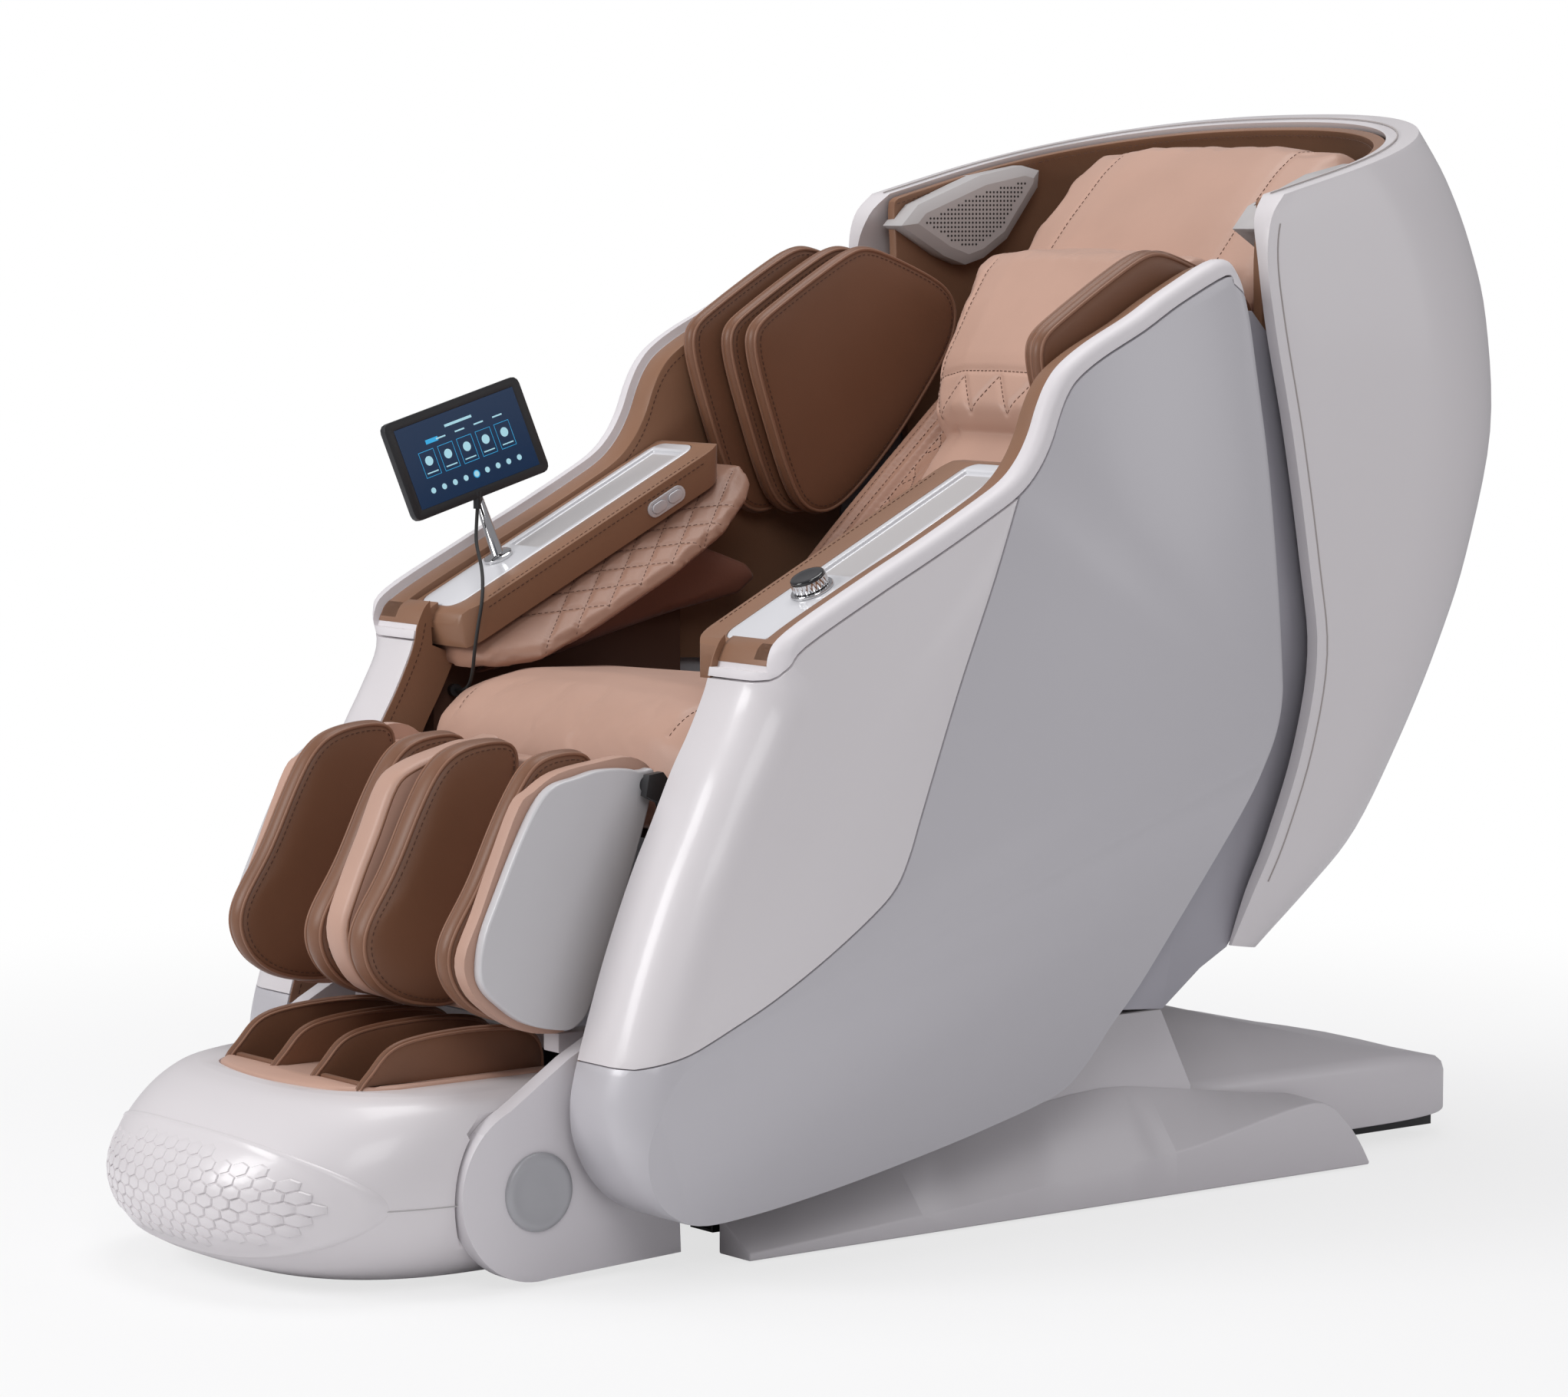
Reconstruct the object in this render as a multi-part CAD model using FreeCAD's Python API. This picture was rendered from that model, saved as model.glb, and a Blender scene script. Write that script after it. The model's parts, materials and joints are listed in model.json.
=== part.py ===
"""Reclining massage chair, built as an assembly of separate pieces.

Millimetres, +Z up. The sitter faces -Y and +X is the sitter's left.
Outlines are drawn from a station beside the seat's rear edge. Each piece is then
moved by ORIGIN_Y, which puts the origin on the floor, under the middle of the chair.
"""
import FreeCAD, Part
import math
import os

V = FreeCAD.Vector
os.makedirs("parts", exist_ok=True)

# Driving dimensions, whole chair
ORIGIN_Y = 276.5              # from the drawing station to the middle of the chair
HALF_WIDTH = 388.0            # outer face of a side wing
WING_INNER = 345.0            # inner face of a side wing's plate
POST_INNER = 275.0            # inner face of a wing's front post
POST_DEPTH = 62.0
HOOD_HALF = 370.0             # outer half width of the rear hood
HOOD_SKIN = 16.0
RIM_WIDTH = 34.0
STRIP_X = (331.0, 345.0)      # inner side strip, between wing and hood
LINING_X = (331.0, 345.0)

# Wing outline in side view, (y, z)
WING_FRONT = [(-632, 607), (-653, 563), (-676, 523), (-702, 470), (-728, 418),
              (-759, 343), (-781, 280), (-798, 225), (-805, 188)]
WING_CHIN = [(-801, 150), (-782, 112), (-752, 83), (-705, 64)]
WING_BOTTOM = [(-633, 66), (-531, 79), (-427, 97), (-323, 118), (-217, 145), (-178, 172)]
WING_REAR = [(-144, 214), (-107, 256), (-56, 326), (21, 435), (57, 492), (73, 527),
             (80, 562), (79, 599), (71, 694), (56, 817), (38, 916), (24, 985)]
WING_SHOULDER = [(10, 1027), (-17, 1042)]
WING_TOP = [(-88, 1011), (-139, 983), (-196, 956), (-232, 934), (-251, 914), (-264, 890),
            (-276, 860), (-292, 834), (-315, 812), (-356, 789), (-425, 754), (-500, 718),
            (-598, 668), (-622, 642)]
SEAM = [(-299, 815), (-338, 712), (-387, 597), (-435, 473), (-452, 428), (-470, 396),
        (-500, 370), (-560, 331), (-627, 294), (-685, 268), (-735, 248), (-785, 234)]
CREASE = ((-883, 186), (48, 497))     # above it the panel stands upright
CREASE_TUCK = 9.0                     # degrees that it turns in below the crease
RIM_BAND = 28.0

# Armrests
ARM_SLOPE = 0.504
ARM_X = (208.0, 330.0)
ARM_PAD = 42.0
TRAY_X = (246.0, 324.0)
TRAY_Y = (-592.0, -254.0)
TRAY_DEPTH = 12.0

# Back, tilted plane of the back pad
BACK_TILT = math.radians(43.0)
BACK_FOOT = (-251.0, 560.0)
RECLINE_PIVOT = (-120.0, 420.0)
PIN_R = 10.0
RUNNING = 0.05                # radial clearance of a running fit

# Leg rest and foot unit
KNEE_PIVOT = (-680.0, 505.0)
FOOT_PIVOT = (-833.0, 99.0)
BRACKET_R = 100.0

# Base
RAIL_X = (150.0, 190.0)
RAIL_Y = (-560.0, 506.0)
RAIL_Z = (12.0, 62.0)
SKIRT_X = (246.0, 300.0)


def arm_z(y):
    """Height of the armrest's top plane."""
    return 640.0 + ARM_SLOPE * (y + 620.0)


def back_point(u, n):
    """(y, z) of a point u up the back and n in front of the pad's plane."""
    c, s = math.cos(BACK_TILT), math.sin(BACK_TILT)
    return (BACK_FOOT[0] + u * c - n * s, BACK_FOOT[1] + u * s + n * c)


def wire(points):
    return Part.makePolygon([V(*p) for p in points] + [V(*points[0])])


def prism(outline, x0, x1):
    """A (y, z) outline carried across from x0 to x1."""
    face = Part.Face(wire([(x0, y, z) for y, z in outline]))
    return face.extrude(V(x1 - x0, 0, 0))


def facets(a, b, c, d):
    """The quad a b c d as one flat face, or two where it is twisted."""
    p, q, r, t = V(*a), V(*b), V(*c), V(*d)
    normal = (r - p).cross(t - q)
    if normal.Length and abs((q - p).dot(normal)) / normal.Length < 1e-6:
        return [Part.Face(wire([a, b, c, d]))]
    if (r - p).Length < (t - q).Length:
        return [Part.Face(wire([a, b, c])), Part.Face(wire([a, c, d]))]
    return [Part.Face(wire([a, b, d])), Part.Face(wire([b, c, d]))]


def skin(sections):
    """A closed solid with flat facets through like sections of 3-D points."""
    faces = [Part.Face(wire(sections[0])), Part.Face(wire(sections[-1]))]
    for low, high in zip(sections, sections[1:]):
        for i in range(len(low)):
            faces += facets(low[i - 1], low[i], high[i], high[i - 1])
    shell = Part.makeCompound(faces)
    shell.sewShape()
    solid = Part.makeSolid(shell.Shells[0])
    return solid if solid.Volume > 0 else solid.reversed()


def skin_x(sections):
    """The same, for (x, outline) pairs."""
    return skin([[(x, y, z) for y, z in outline] for x, outline in sections])


def block(x0, x1, y0, y1, z0, z1):
    return Part.makeBox(x1 - x0, y1 - y0, z1 - z0, V(x0, y0, z0))


def rod_x(x0, x1, y, z, r):
    return Part.makeCylinder(r, x1 - x0, V(x0, y, z), V(1, 0, 0))


def other_side(shape):
    return shape.mirror(V(0, 0, 0), V(1, 0, 0))


def both(shape):
    return Part.makeCompound([shape, other_side(shape)])


def group(shapes):
    return Part.makeCompound(shapes)


def inset(outline, depth):
    """The outline drawn in by depth, one value or one per point."""
    n = len(outline)
    depths = depth if isinstance(depth, list) else [depth] * n
    area = sum(outline[i - 1][0] * outline[i][1] - outline[i][0] * outline[i - 1][1]
               for i in range(n))
    turn = 1.0 if area > 0 else -1.0
    result = []
    for i in range(n):
        (ya, za), (yb, zb), (yc, zc) = outline[i - 1], outline[i], outline[(i + 1) % n]
        e1 = math.hypot(yb - ya, zb - za)
        e2 = math.hypot(yc - yb, zc - zb)
        n1 = (-(zb - za) / e1 * turn, (yb - ya) / e1 * turn)
        n2 = (-(zc - zb) / e2 * turn, (yc - yb) / e2 * turn)
        my, mz = n1[0] + n2[0], n1[1] + n2[1]
        length = math.hypot(my, mz)
        spread = max(0.6, length / 2.0)
        step = depths[i] / spread / length
        result.append((yb + my * step, zb + mz * step))
    return result


def rounded(depth, radius):
    """How far an edge of this radius has drawn in, depth below its face."""
    if depth >= radius:
        return 0.0
    return radius - math.sqrt(radius ** 2 - (radius - depth) ** 2)


def ring_outline(y, z, r, sides=24):
    """A round outline of many sides."""
    return [(y + r * math.cos(2 * math.pi * k / sides), z + r * math.sin(2 * math.pi * k / sides))
            for k in range(sides)]


def ring(centre, way, side, radius, sides):
    """A round section of many sides, square to the way it goes."""
    other = way.cross(side)
    turns = [2 * math.pi * k / sides for k in range(sides)]
    return [centre + side * (radius * math.cos(a)) + other * (radius * math.sin(a)) for a in turns]


def turned(foot, way, levels, sides=20):
    """A round piece along a direction, from (height, radius) levels."""
    way = V(way).normalize()
    side = V(1, 0, 0) if abs(way.x) < 0.9 else V(0, 1, 0)
    side = (side - way * side.dot(way)).normalize()
    return skin([ring(foot + way * h, way, side, r, sides) for h, r in levels])


def pad_x(outline, x0, x1, edge=12.0, crown=6.0, dome=40.0):
    """A soft plate across X: drawn-in edges and a crown on both faces."""
    mid, third = (x0 + x1) / 2.0, (x1 - x0) * 0.22
    return skin_x([(x0, inset(outline, dome)), (x0 + crown * 0.6, inset(outline, edge)),
                   (x0 + third + crown * 0.4, inset(outline, edge * 0.2)), (mid, outline),
                   (x1 - third - crown * 0.4, inset(outline, edge * 0.2)),
                   (x1 - crown * 0.6, inset(outline, edge)), (x1, inset(outline, dome))])


def save(node, shape):
    """Writes one node in the chair's own frame and says how big it is."""
    shape = shape.translated(V(0, ORIGIN_Y, 0))
    shape.exportStep("parts/" + node + ".step")
    flag = "" if shape.isValid() and all(s.Volume > 0 for s in shape.Solids) else "  CHECK"
    print("%-24s solids %d  volume %.0f cm3%s" % (node, len(shape.Solids), shape.Volume / 1000, flag))


# Base: rails, cross tubes, feet and wheels
WHEEL_Y, WHEEL_Z, WHEEL_R, AXLE_R = 490.0, 30.0, 26.0, 6.0
CROSS_Y = (-520.0, -60.0, 400.0)
OUTRIGGER_Y = (-520.0, -60.0, 40.0)
FOOT_Y = (-500.0, 380.0)


def base_rail():
    rail = block(*RAIL_X, *RAIL_Y, *RAIL_Z)
    bore = block(RAIL_X[0] + 3, RAIL_X[1] - 3, RAIL_Y[0] - 1, RAIL_Y[1] + 1,
                 RAIL_Z[0] + 3, RAIL_Z[1] - 3)
    axle_hole = rod_x(RAIL_X[0] - 1, RAIL_X[1] + 1, WHEEL_Y, WHEEL_Z, AXLE_R + RUNNING)
    return rail.cut(bore).cut(axle_hole)


outriggers = [block(RAIL_X[1], SKIRT_X[0], y - 20, y + 20, 20, 40) for y in OUTRIGGER_Y]
cross_tubes = [block(-RAIL_X[0], RAIL_X[0], y - 20, y + 20, 20, 50) for y in CROSS_Y]
save("base_frame", group([base_rail(), other_side(base_rail())] + cross_tubes
                         + outriggers + [other_side(o) for o in outriggers]))
UP = V(0, 0, 1)
feet = [turned(V(side * 170, y, 0), UP, [(0, 16), (1, 17), (7, 17), (9, 9), (RAIL_Z[0], 9)])
        for side in (-1, 1) for y in FOOT_Y]
save("leveling_feet", group(feet))
wheel_set = rod_x(-188, 188, WHEEL_Y, WHEEL_Z, AXLE_R)
for x in (-146, 118):
    tread = [(0, WHEEL_R - 2), (2, WHEEL_R), (26, WHEEL_R), (28, WHEEL_R - 2)]
    wheel_set = wheel_set.fuse(turned(V(x, WHEEL_Y, WHEEL_Z), V(1, 0, 0), tread, 28))
save("transport_wheels", wheel_set)


def skirt_section(y, ridge, top):
    """Wedge section: upright outer wall, sloping top, upright inner side."""
    x0, x1 = SKIRT_X
    return [(x1, y, 3), (x1, y, ridge), (x0, y, top), (x0, y, 3)]


# Side skirts: a long wedge that rises to the rear and rounds off behind the wing,
# and the tower between them: two side walls and a sloping rear wall
SKIRT = [(-594, 11, 42), (-362, 23, 86), (-202, 35, 110), (-65, 45, 124), (39, 55, 113),
         (167, 79, 94), (228, 82, 85), (262, 58, 62), (284, 32, 34), (300, 6, 7)]
TOWER_TOP = 203.0
skirt = skin([skirt_section(*section) for section in SKIRT])
tower_outline = [(-400, 50), (-400, 92), (-300, 150), (-150, TOWER_TOP), (26, TOWER_TOP), (72, 112),
                 (72, 50)]
tower_side = prism(tower_outline, SKIRT_X[0] - 6, SKIRT_X[0])
tower_rear = prism([(20, TOWER_TOP), (26, TOWER_TOP), (72, 112), (72, 90), (66, 90), (66, 111)],
                   -SKIRT_X[0] + 6, SKIRT_X[0] - 6)
save("base_shroud", group([skirt, other_side(skirt), tower_side, other_side(tower_side), tower_rear]))


def cover_section(y, half, ridge, crown, low, wall=0.0):
    """Section of the rear cover, drawn in by the wall for its inside."""
    h, r, c = half - wall, ridge - wall, crown - wall
    return [(h, y, low), (h, y, r - 14), (h - 12, y, r), (h * 0.55, y, c), (0, y, c + 3),
            (-h * 0.55, y, c), (-h + 12, y, r), (-h, y, r - 14), (-h, y, low)]


# Rear cover: low shell that falls to the rear and rounds off
COVER = [(72, 240, 112, 190), (170, 240, 113, 172), (290, 242, 112, 142), (400, 240, 110, 116),
         (470, 228, 102, 102), (512, 204, 93, 94), (536, 168, 84, 86), (548, 120, 74, 76)]
cover = skin([cover_section(y, h, r, c, 32) for y, h, r, c in COVER])
hollow = skin([cover_section(y, h, r, c, 31, 5.0) for y, h, r, c in [(71.9,) + COVER[0][1:]] + COVER[1:-1]]
              + [cover_section(542, 150, 80, 82, 31, 5.0)])
inlet_seat = block(-28, 28, 534, 560, 36, 66)
inlet = block(-28, 28, 534, 548, 36, 66).cut(block(-22, 22, 538, 549, 41, 61))
save("base_rear_cover", cover.cut(hollow).cut(inlet_seat))
save("power_inlet", inlet)

# Carriage that slides on the rails, and the slide drive between base and carriage
SHOE_Y = (-400.0, 10.0)
DRIVE_Z = 70.0
save("slide_shoes", group([block(side * 170 - 19, side * 170 + 19, y - 40, y + 40, RAIL_Z[1] + 0.2, 90)
                           for side in (-1, 1) for y in SHOE_Y]))
drive = block(-32, 32, -78, 10, 50, 82).fuse(Part.makeCylinder(15, 260, V(0, 10, DRIVE_Z - 2), V(0, 1, 0)))
drive = drive.cut(Part.makeCylinder(8 + RUNNING, 400, V(0, -90, DRIVE_Z - 2), V(0, 1, 0)))
save("slide_drive", drive)
drive_rod = Part.makeCylinder(8, 420, V(0, -260, DRIVE_Z - 2), V(0, 1, 0))
drive_lug = block(-14, 14, -284, -260, 56, 90)
plate = block(-232, 232, -560, 30, 90, 96)
# Recline drive's foot and eye, in the chair's middle plane
DRIVE_FOOT = V(0, -60, 134)
DRIVE_EYE = V(0, -22, 534)
foot_ear = prism([(-90, 96), (-30, 96), (-46, 148), (-74, 148)], 18, 26)
foot_pin = rod_x(-18, 18, DRIVE_FOOT.y, DRIVE_FOOT.z, 6)
save("carriage_plate", group([plate, drive_rod.fuse(drive_lug), foot_ear, other_side(foot_ear), foot_pin]))

# Seat frame: four posts and the deck
posts = [block(x - 20, x + 20, y, y + 40, 96, 434).cut(block(x - 17, x + 17, y + 3, y + 37, 90, 440))
         for x in (-170, 170) for y in (-560, -270)]
deck = block(-331, 331, -610, -230, 434, 442)
save("seat_frame", group(posts + [deck]))

# Hinge brackets with their pins: recline at the hips, leg rest at the knees
py, pz = RECLINE_PIVOT
KP_Y, KP_Z = KNEE_PIVOT
hip = prism([(py - 50, 96), (py + 50, 96), (py + 24, pz + 10), (py + 10, pz + 24), (py - 10, pz + 24),
             (py - 24, pz + 10)], 222, 232)
hip = hip.fuse(rod_x(232, 252, py, pz, PIN_R))
knee = prism([(KP_Y - 14, KP_Z - 10), (KP_Y + 4, KP_Z - 18), (-640, 400), (-610, 400), (-610, 442),
              (KP_Y + 8, KP_Z + 14), (KP_Y - 10, KP_Z + 12)], 246, 256)
knee = knee.fuse(rod_x(208, 246, KP_Y, KP_Z, PIN_R))
save("hinge_brackets", group([hip, other_side(hip), knee, other_side(knee)]))

# Inner machinery on the carriage
PUMP_BOX = (-140, -24, -470, -300, 96, 196)
save("air_pump", block(*PUMP_BOX).fuse(Part.makeCylinder(32, 40, V(-82, -385, 196))))
save("control_box", block(24, 140, -480, -300, 96, 156))

# Side wings
WING = WING_FRONT + WING_CHIN + WING_BOTTOM + WING_REAR + WING_SHOULDER + WING_TOP
EDGE_RADII = ([62.0] * len(WING_FRONT) + [52.0, 44.0, 36.0, 30.0] + [24.0] * len(WING_BOTTOM)
              + [10.0] * len(WING_REAR) + [14.0] * len(WING_SHOULDER) + [14.0] * (len(WING_TOP) - 1) + [30.0])


def wing_level(x):
    depth = HALF_WIDTH - x
    return (x, inset(WING, [rounded(depth, r) for r in EDGE_RADII]))


wing = skin_x([(POST_INNER, WING)] + [wing_level(x) for x in (326, 345, 363, 376, 384, HALF_WIDTH)])
room = ([(-605, 1300), (-605, 575)] + [(y + POST_DEPTH, z) for y, z in WING_FRONT[1:]]
        + [(-730, 120), (-690, 20), (300, 20), (300, 1300)])
wing = wing.cut(prism(room, POST_INNER - 1, WING_INNER))
(ya, za), (yb, zb) = CREASE
run = math.hypot(yb - ya, zb - za)
dy, dz = (yb - ya) / run, (zb - za) / run
drop, tuck = 420.0, 420.0 * math.tan(math.radians(CREASE_TUCK))


def crease_point(along, down, x):
    return (x, ya + dy * along + dz * down, za + dz * along - dy * down)


cutter = skin([[crease_point(a, 0, HALF_WIDTH), crease_point(a, drop, HALF_WIDTH - tuck),
                crease_point(a, drop, HALF_WIDTH + 40), crease_point(a, 0, HALF_WIDTH + 40)]
               for a in (-60, run + 120)])
rim_edge = WING_SHOULDER + WING_TOP
band = inset(WING, RIM_BAND)[-len(rim_edge):]
rim_region = [(40, 990), (40, 1120), (-320, 1120), (-700, 760), (-700, 625), (-627, 618)] + band[::-1]
front_region = SEAM + [(-900, 232), (-900, 900), (-299, 900)]
rim_cut = prism(rim_region, 200, 400)
front_cut = prism(front_region, 200, 400)
arm_rim = wing.common(rim_cut)
rest = wing.cut(rim_cut)
front_panel = rest.common(front_cut)
side_shell = rest.cut(front_cut).cut(cutter)
for name, shape in (("arm_rims", arm_rim), ("front_panels", front_panel), ("side_shells", side_shell)):
    save(name, both(shape))

# Inner strip that fills the gap between wing and hood
strip_outline = [(24, 985), (24, 600), (-40, 345), (-140, 230), (-60, 224), (-5, 264), (34, 284),
                 (100, 370), (150, 470), (175, 564), (160, 700), (112, 934), (64, 985)]
save("side_strips", both(prism(strip_outline, *STRIP_X)))
lining_outline = [(-560, 600), (-590, 655), (-500, 706), (-356, 777), (-300, 810), (-262, 872),
                  (-232, 920), (-139, 971), (-17, 1030), (5, 1012), (22, 985), (22, 600), (-20, 560)]
lining = prism(lining_outline, *LINING_X)
save("arm_linings", both(lining))

# Armrests
arm_outline = [(-604, arm_z(-604) - 12), (-594, arm_z(-594)), (-252, arm_z(-252)), (-240, arm_z(-240) - 10),
               (-240, arm_z(-240) - 34), (-250, arm_z(-250) - ARM_PAD), (-596, arm_z(-596) - ARM_PAD)]
arm_pad = skin_x([(ARM_X[0], inset(arm_outline, 5)), (ARM_X[0] + 5, arm_outline),
                  (ARM_X[1] - 0.5, arm_outline)])
tray_outline = [(TRAY_Y[0], arm_z(TRAY_Y[0]) + 1), (TRAY_Y[1], arm_z(TRAY_Y[1]) + 1),
                (TRAY_Y[1], arm_z(TRAY_Y[1]) - TRAY_DEPTH), (TRAY_Y[0], arm_z(TRAY_Y[0]) - TRAY_DEPTH)]
tray = prism(tray_outline, *TRAY_X)
arm_pad = arm_pad.cut(tray)
phone_recess = prism([(-470, arm_z(-470) - 5), (-268, arm_z(-268) - 5), (-268, arm_z(-268) + 9),
                      (-470, arm_z(-470) + 9)], TRAY_X[0] + 10, TRAY_X[1] - 10)
tray = tray.cut(phone_recess)
save("armrest_pads", both(arm_pad))

# Panel that carries each armrest
arm_frame = prism([(-585, 442), (-240, 442), (-240, arm_z(-240) - ARM_PAD - 1),
                   (-585, arm_z(-585) - ARM_PAD - 1)], 300, 331)
save("arm_frames", both(arm_frame))


def forearm_section(y, reach):
    z = arm_z(y) - ARM_PAD
    return [(299, y, z - 4), (226, y, z - 4), (232 - reach, y, z - 6 - reach * 0.42),
            (224 - reach, y, z - 16 - reach * 0.46), (234 - reach, y, z - 25 - reach * 0.4),
            (226, y, z - 32), (299, y, z - 30)]


FOREARM = [(-584, 10), (-570, 32), (-530, 62), (-450, 70), (-350, 70), (-270, 58), (-225, 36), (-208, 20)]
forearm = skin([forearm_section(y, r) for y, r in FOREARM])
save("forearm_pads", both(forearm))
hip_outline = [(-550, 575), (-380, 650), (-244, 712), (-165, 683), (-152, 667), (-177, 648), (-299, 622),
               (-433, 590)]
save("hip_flaps", both(pad_x(hip_outline, 262, 286, 5, 4, 14)))

# Shoulder air cushions, three leaves each side
LEAF = [(-184, 946), (-156, 977), (-37, 1047), (-2, 1051), (96, 1013), (123, 992), (128, 971),
        (116, 928), (41, 829), (-27, 762), (-67, 736), (-93, 738), (-116, 753), (-150, 834)]
leaves = [pad_x([(y + dy_leaf, z) for y, z in LEAF], x0, x0 + 27, 5, 5, 30)
          for x0, dy_leaf in ((238, 4), (268, -8), (298, -40))]
save("shoulder_cushions", both(group(leaves)))

# Seat cushion: crowned, drawn in at its sides, falls to the rear
SEAT = [(-628, 442.5), (-644, 500), (-632, 550), (-600, 578), (-540, 590), (-430, 586), (-340, 566),
        (-286, 540), (-262, 500), (-250, 442.5)]


def seat_level(x, drop_top, draw):
    return (x, [(y + (draw if y < -440 else -draw), z - (drop_top if z > 460 else 0)) for y, z in SEAT])


save("seat_cushion", skin_x([seat_level(-244, 34, 18), seat_level(-234, 18, 6), seat_level(-180, 6, 1),
                             seat_level(0, 0, 0), seat_level(180, 6, 1), seat_level(234, 18, 6),
                             seat_level(244, 34, 18)]))

# Controls on the left tray: bezel and turning knob
KNOB_X, KNOB_Y = 286.0, -500.0
arm_normal = V(0, -ARM_SLOPE, 1).normalize()
knob_foot = V(KNOB_X, KNOB_Y, arm_z(KNOB_Y)) + arm_normal * 1.0
bezel = turned(knob_foot, arm_normal, [(0, 24), (2, 24), (3, 23)], 28)
stem_hole = Part.makeCylinder(6 + RUNNING, 20, knob_foot - arm_normal * 12, arm_normal)
save("knob_bezel", bezel.cut(stem_hole))
grip = []
for k in range(48):
    a = math.radians(7.5 * k)
    r = 20.0 if k % 4 < 2 else 18.8
    grip.append(V(1, 0, 0) * (r * math.cos(a)) + arm_normal.cross(V(1, 0, 0)) * (r * math.sin(a)))
knob = skin([[knob_foot + arm_normal * h + g for g in grip] for h in (3.6, 13.6)])
knob = knob.fuse(turned(knob_foot, arm_normal, [(13.6, 19.6), (17.6, 19.2), (18.6, 18.0)], 24))
knob = knob.fuse(Part.makeCylinder(6, 12, knob_foot - arm_normal * 7.4, arm_normal))
save("control_knob", knob)
left_tray = tray.cut(Part.makeCylinder(6 + RUNNING, 30, knob_foot - arm_normal * 9, arm_normal))

# Tablet stalk on the right tray
STALK_FOOT = V(-296, -498, arm_z(-498) + 1)
STALK_TOP = V(-342, -500, 783)
collar = turned(STALK_FOOT, arm_normal, [(0, 17), (3.5, 17), (5, 15)])
stalk_way = STALK_TOP - STALK_FOOT
stalk = turned(STALK_FOOT, stalk_way, [(0, 7.5), (stalk_way.Length, 4.5)])
stalk_base = collar.fuse(stalk)
PIN_TOP_R = 7.5
head_ring = turned(STALK_TOP, V(0, 0, 1), [(-9, 8), (-6, 11), (0, 11)])
swivel_pin = Part.makeCylinder(PIN_TOP_R, 9, STALK_TOP - V(0, 0, 1))
save("tablet_stalk", stalk_base.fuse([head_ring, swivel_pin]))
save("armrest_trays", group([left_tray, other_side(tray).cut(stalk_base)]))

# Tablet, turned so that its face looks across the seat
TABLET_W, TABLET_H, TABLET_T = 200.0, 115.0, 9.0
TABLET_MID = V(-330, -520, 825)
wide = V(-0.069, 0.964, 0.261).normalize()
face_out = V(0.980, 0.014, 0.209)
face_out = (face_out - wide * face_out.dot(wide)).normalize()
tall = face_out.cross(wide).normalize()


def slab(centre, w, h, t, corner):
    """A rounded slab across wide and tall, t thick along face_out from its back."""
    pts = []
    for cw, ch in ((1, 1), (-1, 1), (-1, -1), (1, -1)):
        cx, cz = cw * (w / 2 - corner), ch * (h / 2 - corner)
        start = {(1, 1): 0, (-1, 1): 90, (-1, -1): 180, (1, -1): 270}[(cw, ch)]
        for k in range(4):
            a = math.radians(start + 30 * k)
            pts.append(centre + wide * (cx + corner * math.cos(a)) + tall * (cz + corner * math.sin(a)))
    return Part.Face(Part.makePolygon(pts + [pts[0]])).extrude(face_out * t)


back = TABLET_MID - face_out * TABLET_T / 2
case = slab(back, TABLET_W, TABLET_H, TABLET_T, 9)
screen = slab(back + face_out * (TABLET_T - 1.2), 176, 94, 1.2, 3)
save("tablet_case", case.cut(screen))
save("tablet_screen", screen)
holder_arm = slab(back - face_out * 7 - tall * 20, 46, 40, 7, 6)
cup = turned(STALK_TOP, V(0, 0, 1), [(0.4, 12.5), (1.4, 13.5), (11, 13.5), (13, 11.5)])
cup_bore = Part.makeCylinder(PIN_TOP_R + RUNNING, 12, STALK_TOP - V(0, 0, 3.5))
save("tablet_holder", cup.fuse(holder_arm).cut(case).cut(cup_bore))

# Key plate and two keys on the inner face of the right armrest
KEY_MID = (-328.0, 764.0)
arm_dir = V(0, 1, ARM_SLOPE).normalize()
arm_up = V(0, -ARM_SLOPE, 1).normalize()


def pill(x0, x1, centre, length, height):
    """A rounded bar along the arm, on its inner face."""
    mid = V(x0, centre[0], centre[1])
    outline = []
    for s in (1, -1):
        for k in range(9):
            a = math.radians(-90 + 22.5 * k)
            along = s * (length / 2 - height / 2 + math.cos(a) * height / 2)
            outline.append(mid + arm_dir * along + arm_up * (s * math.sin(a) * height / 2))
    return Part.Face(wire(outline)).extrude(V(x1 - x0, 0, 0))


plate = pill(-208, -205, KEY_MID, 56, 19)
keys = {}
for name, s in (("key_up", 1), ("key_down", -1)):
    centre = (KEY_MID[0] + arm_dir.y * 12.5 * s, KEY_MID[1] + arm_dir.z * 12.5 * s)
    plate = plate.cut(pill(-210, -200, centre, 21, 12))
    keys[name] = pill(-206.5, -203, centre, 20.6, 11.6)
save("key_plate", plate)
for name, shape in keys.items():
    save(name, shape)

# Tablet cord: from the plug under the tablet, over the arm, into the recess below it
CORD_R = 2.0
CORD_POINTS = [(-318, -512, 757), (-317, -514, 740), (-308, -521, 722), (-284, -534, 709), (-252, -552, 699),
               (-221, -571, 686), (-203, -584, 664), (-200, -592, 636), (-203, -595, 608), (-214, -590, 583),
               (-236, -580, 566), (-262, -570, 558), (-287, -563, 556)]


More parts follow.
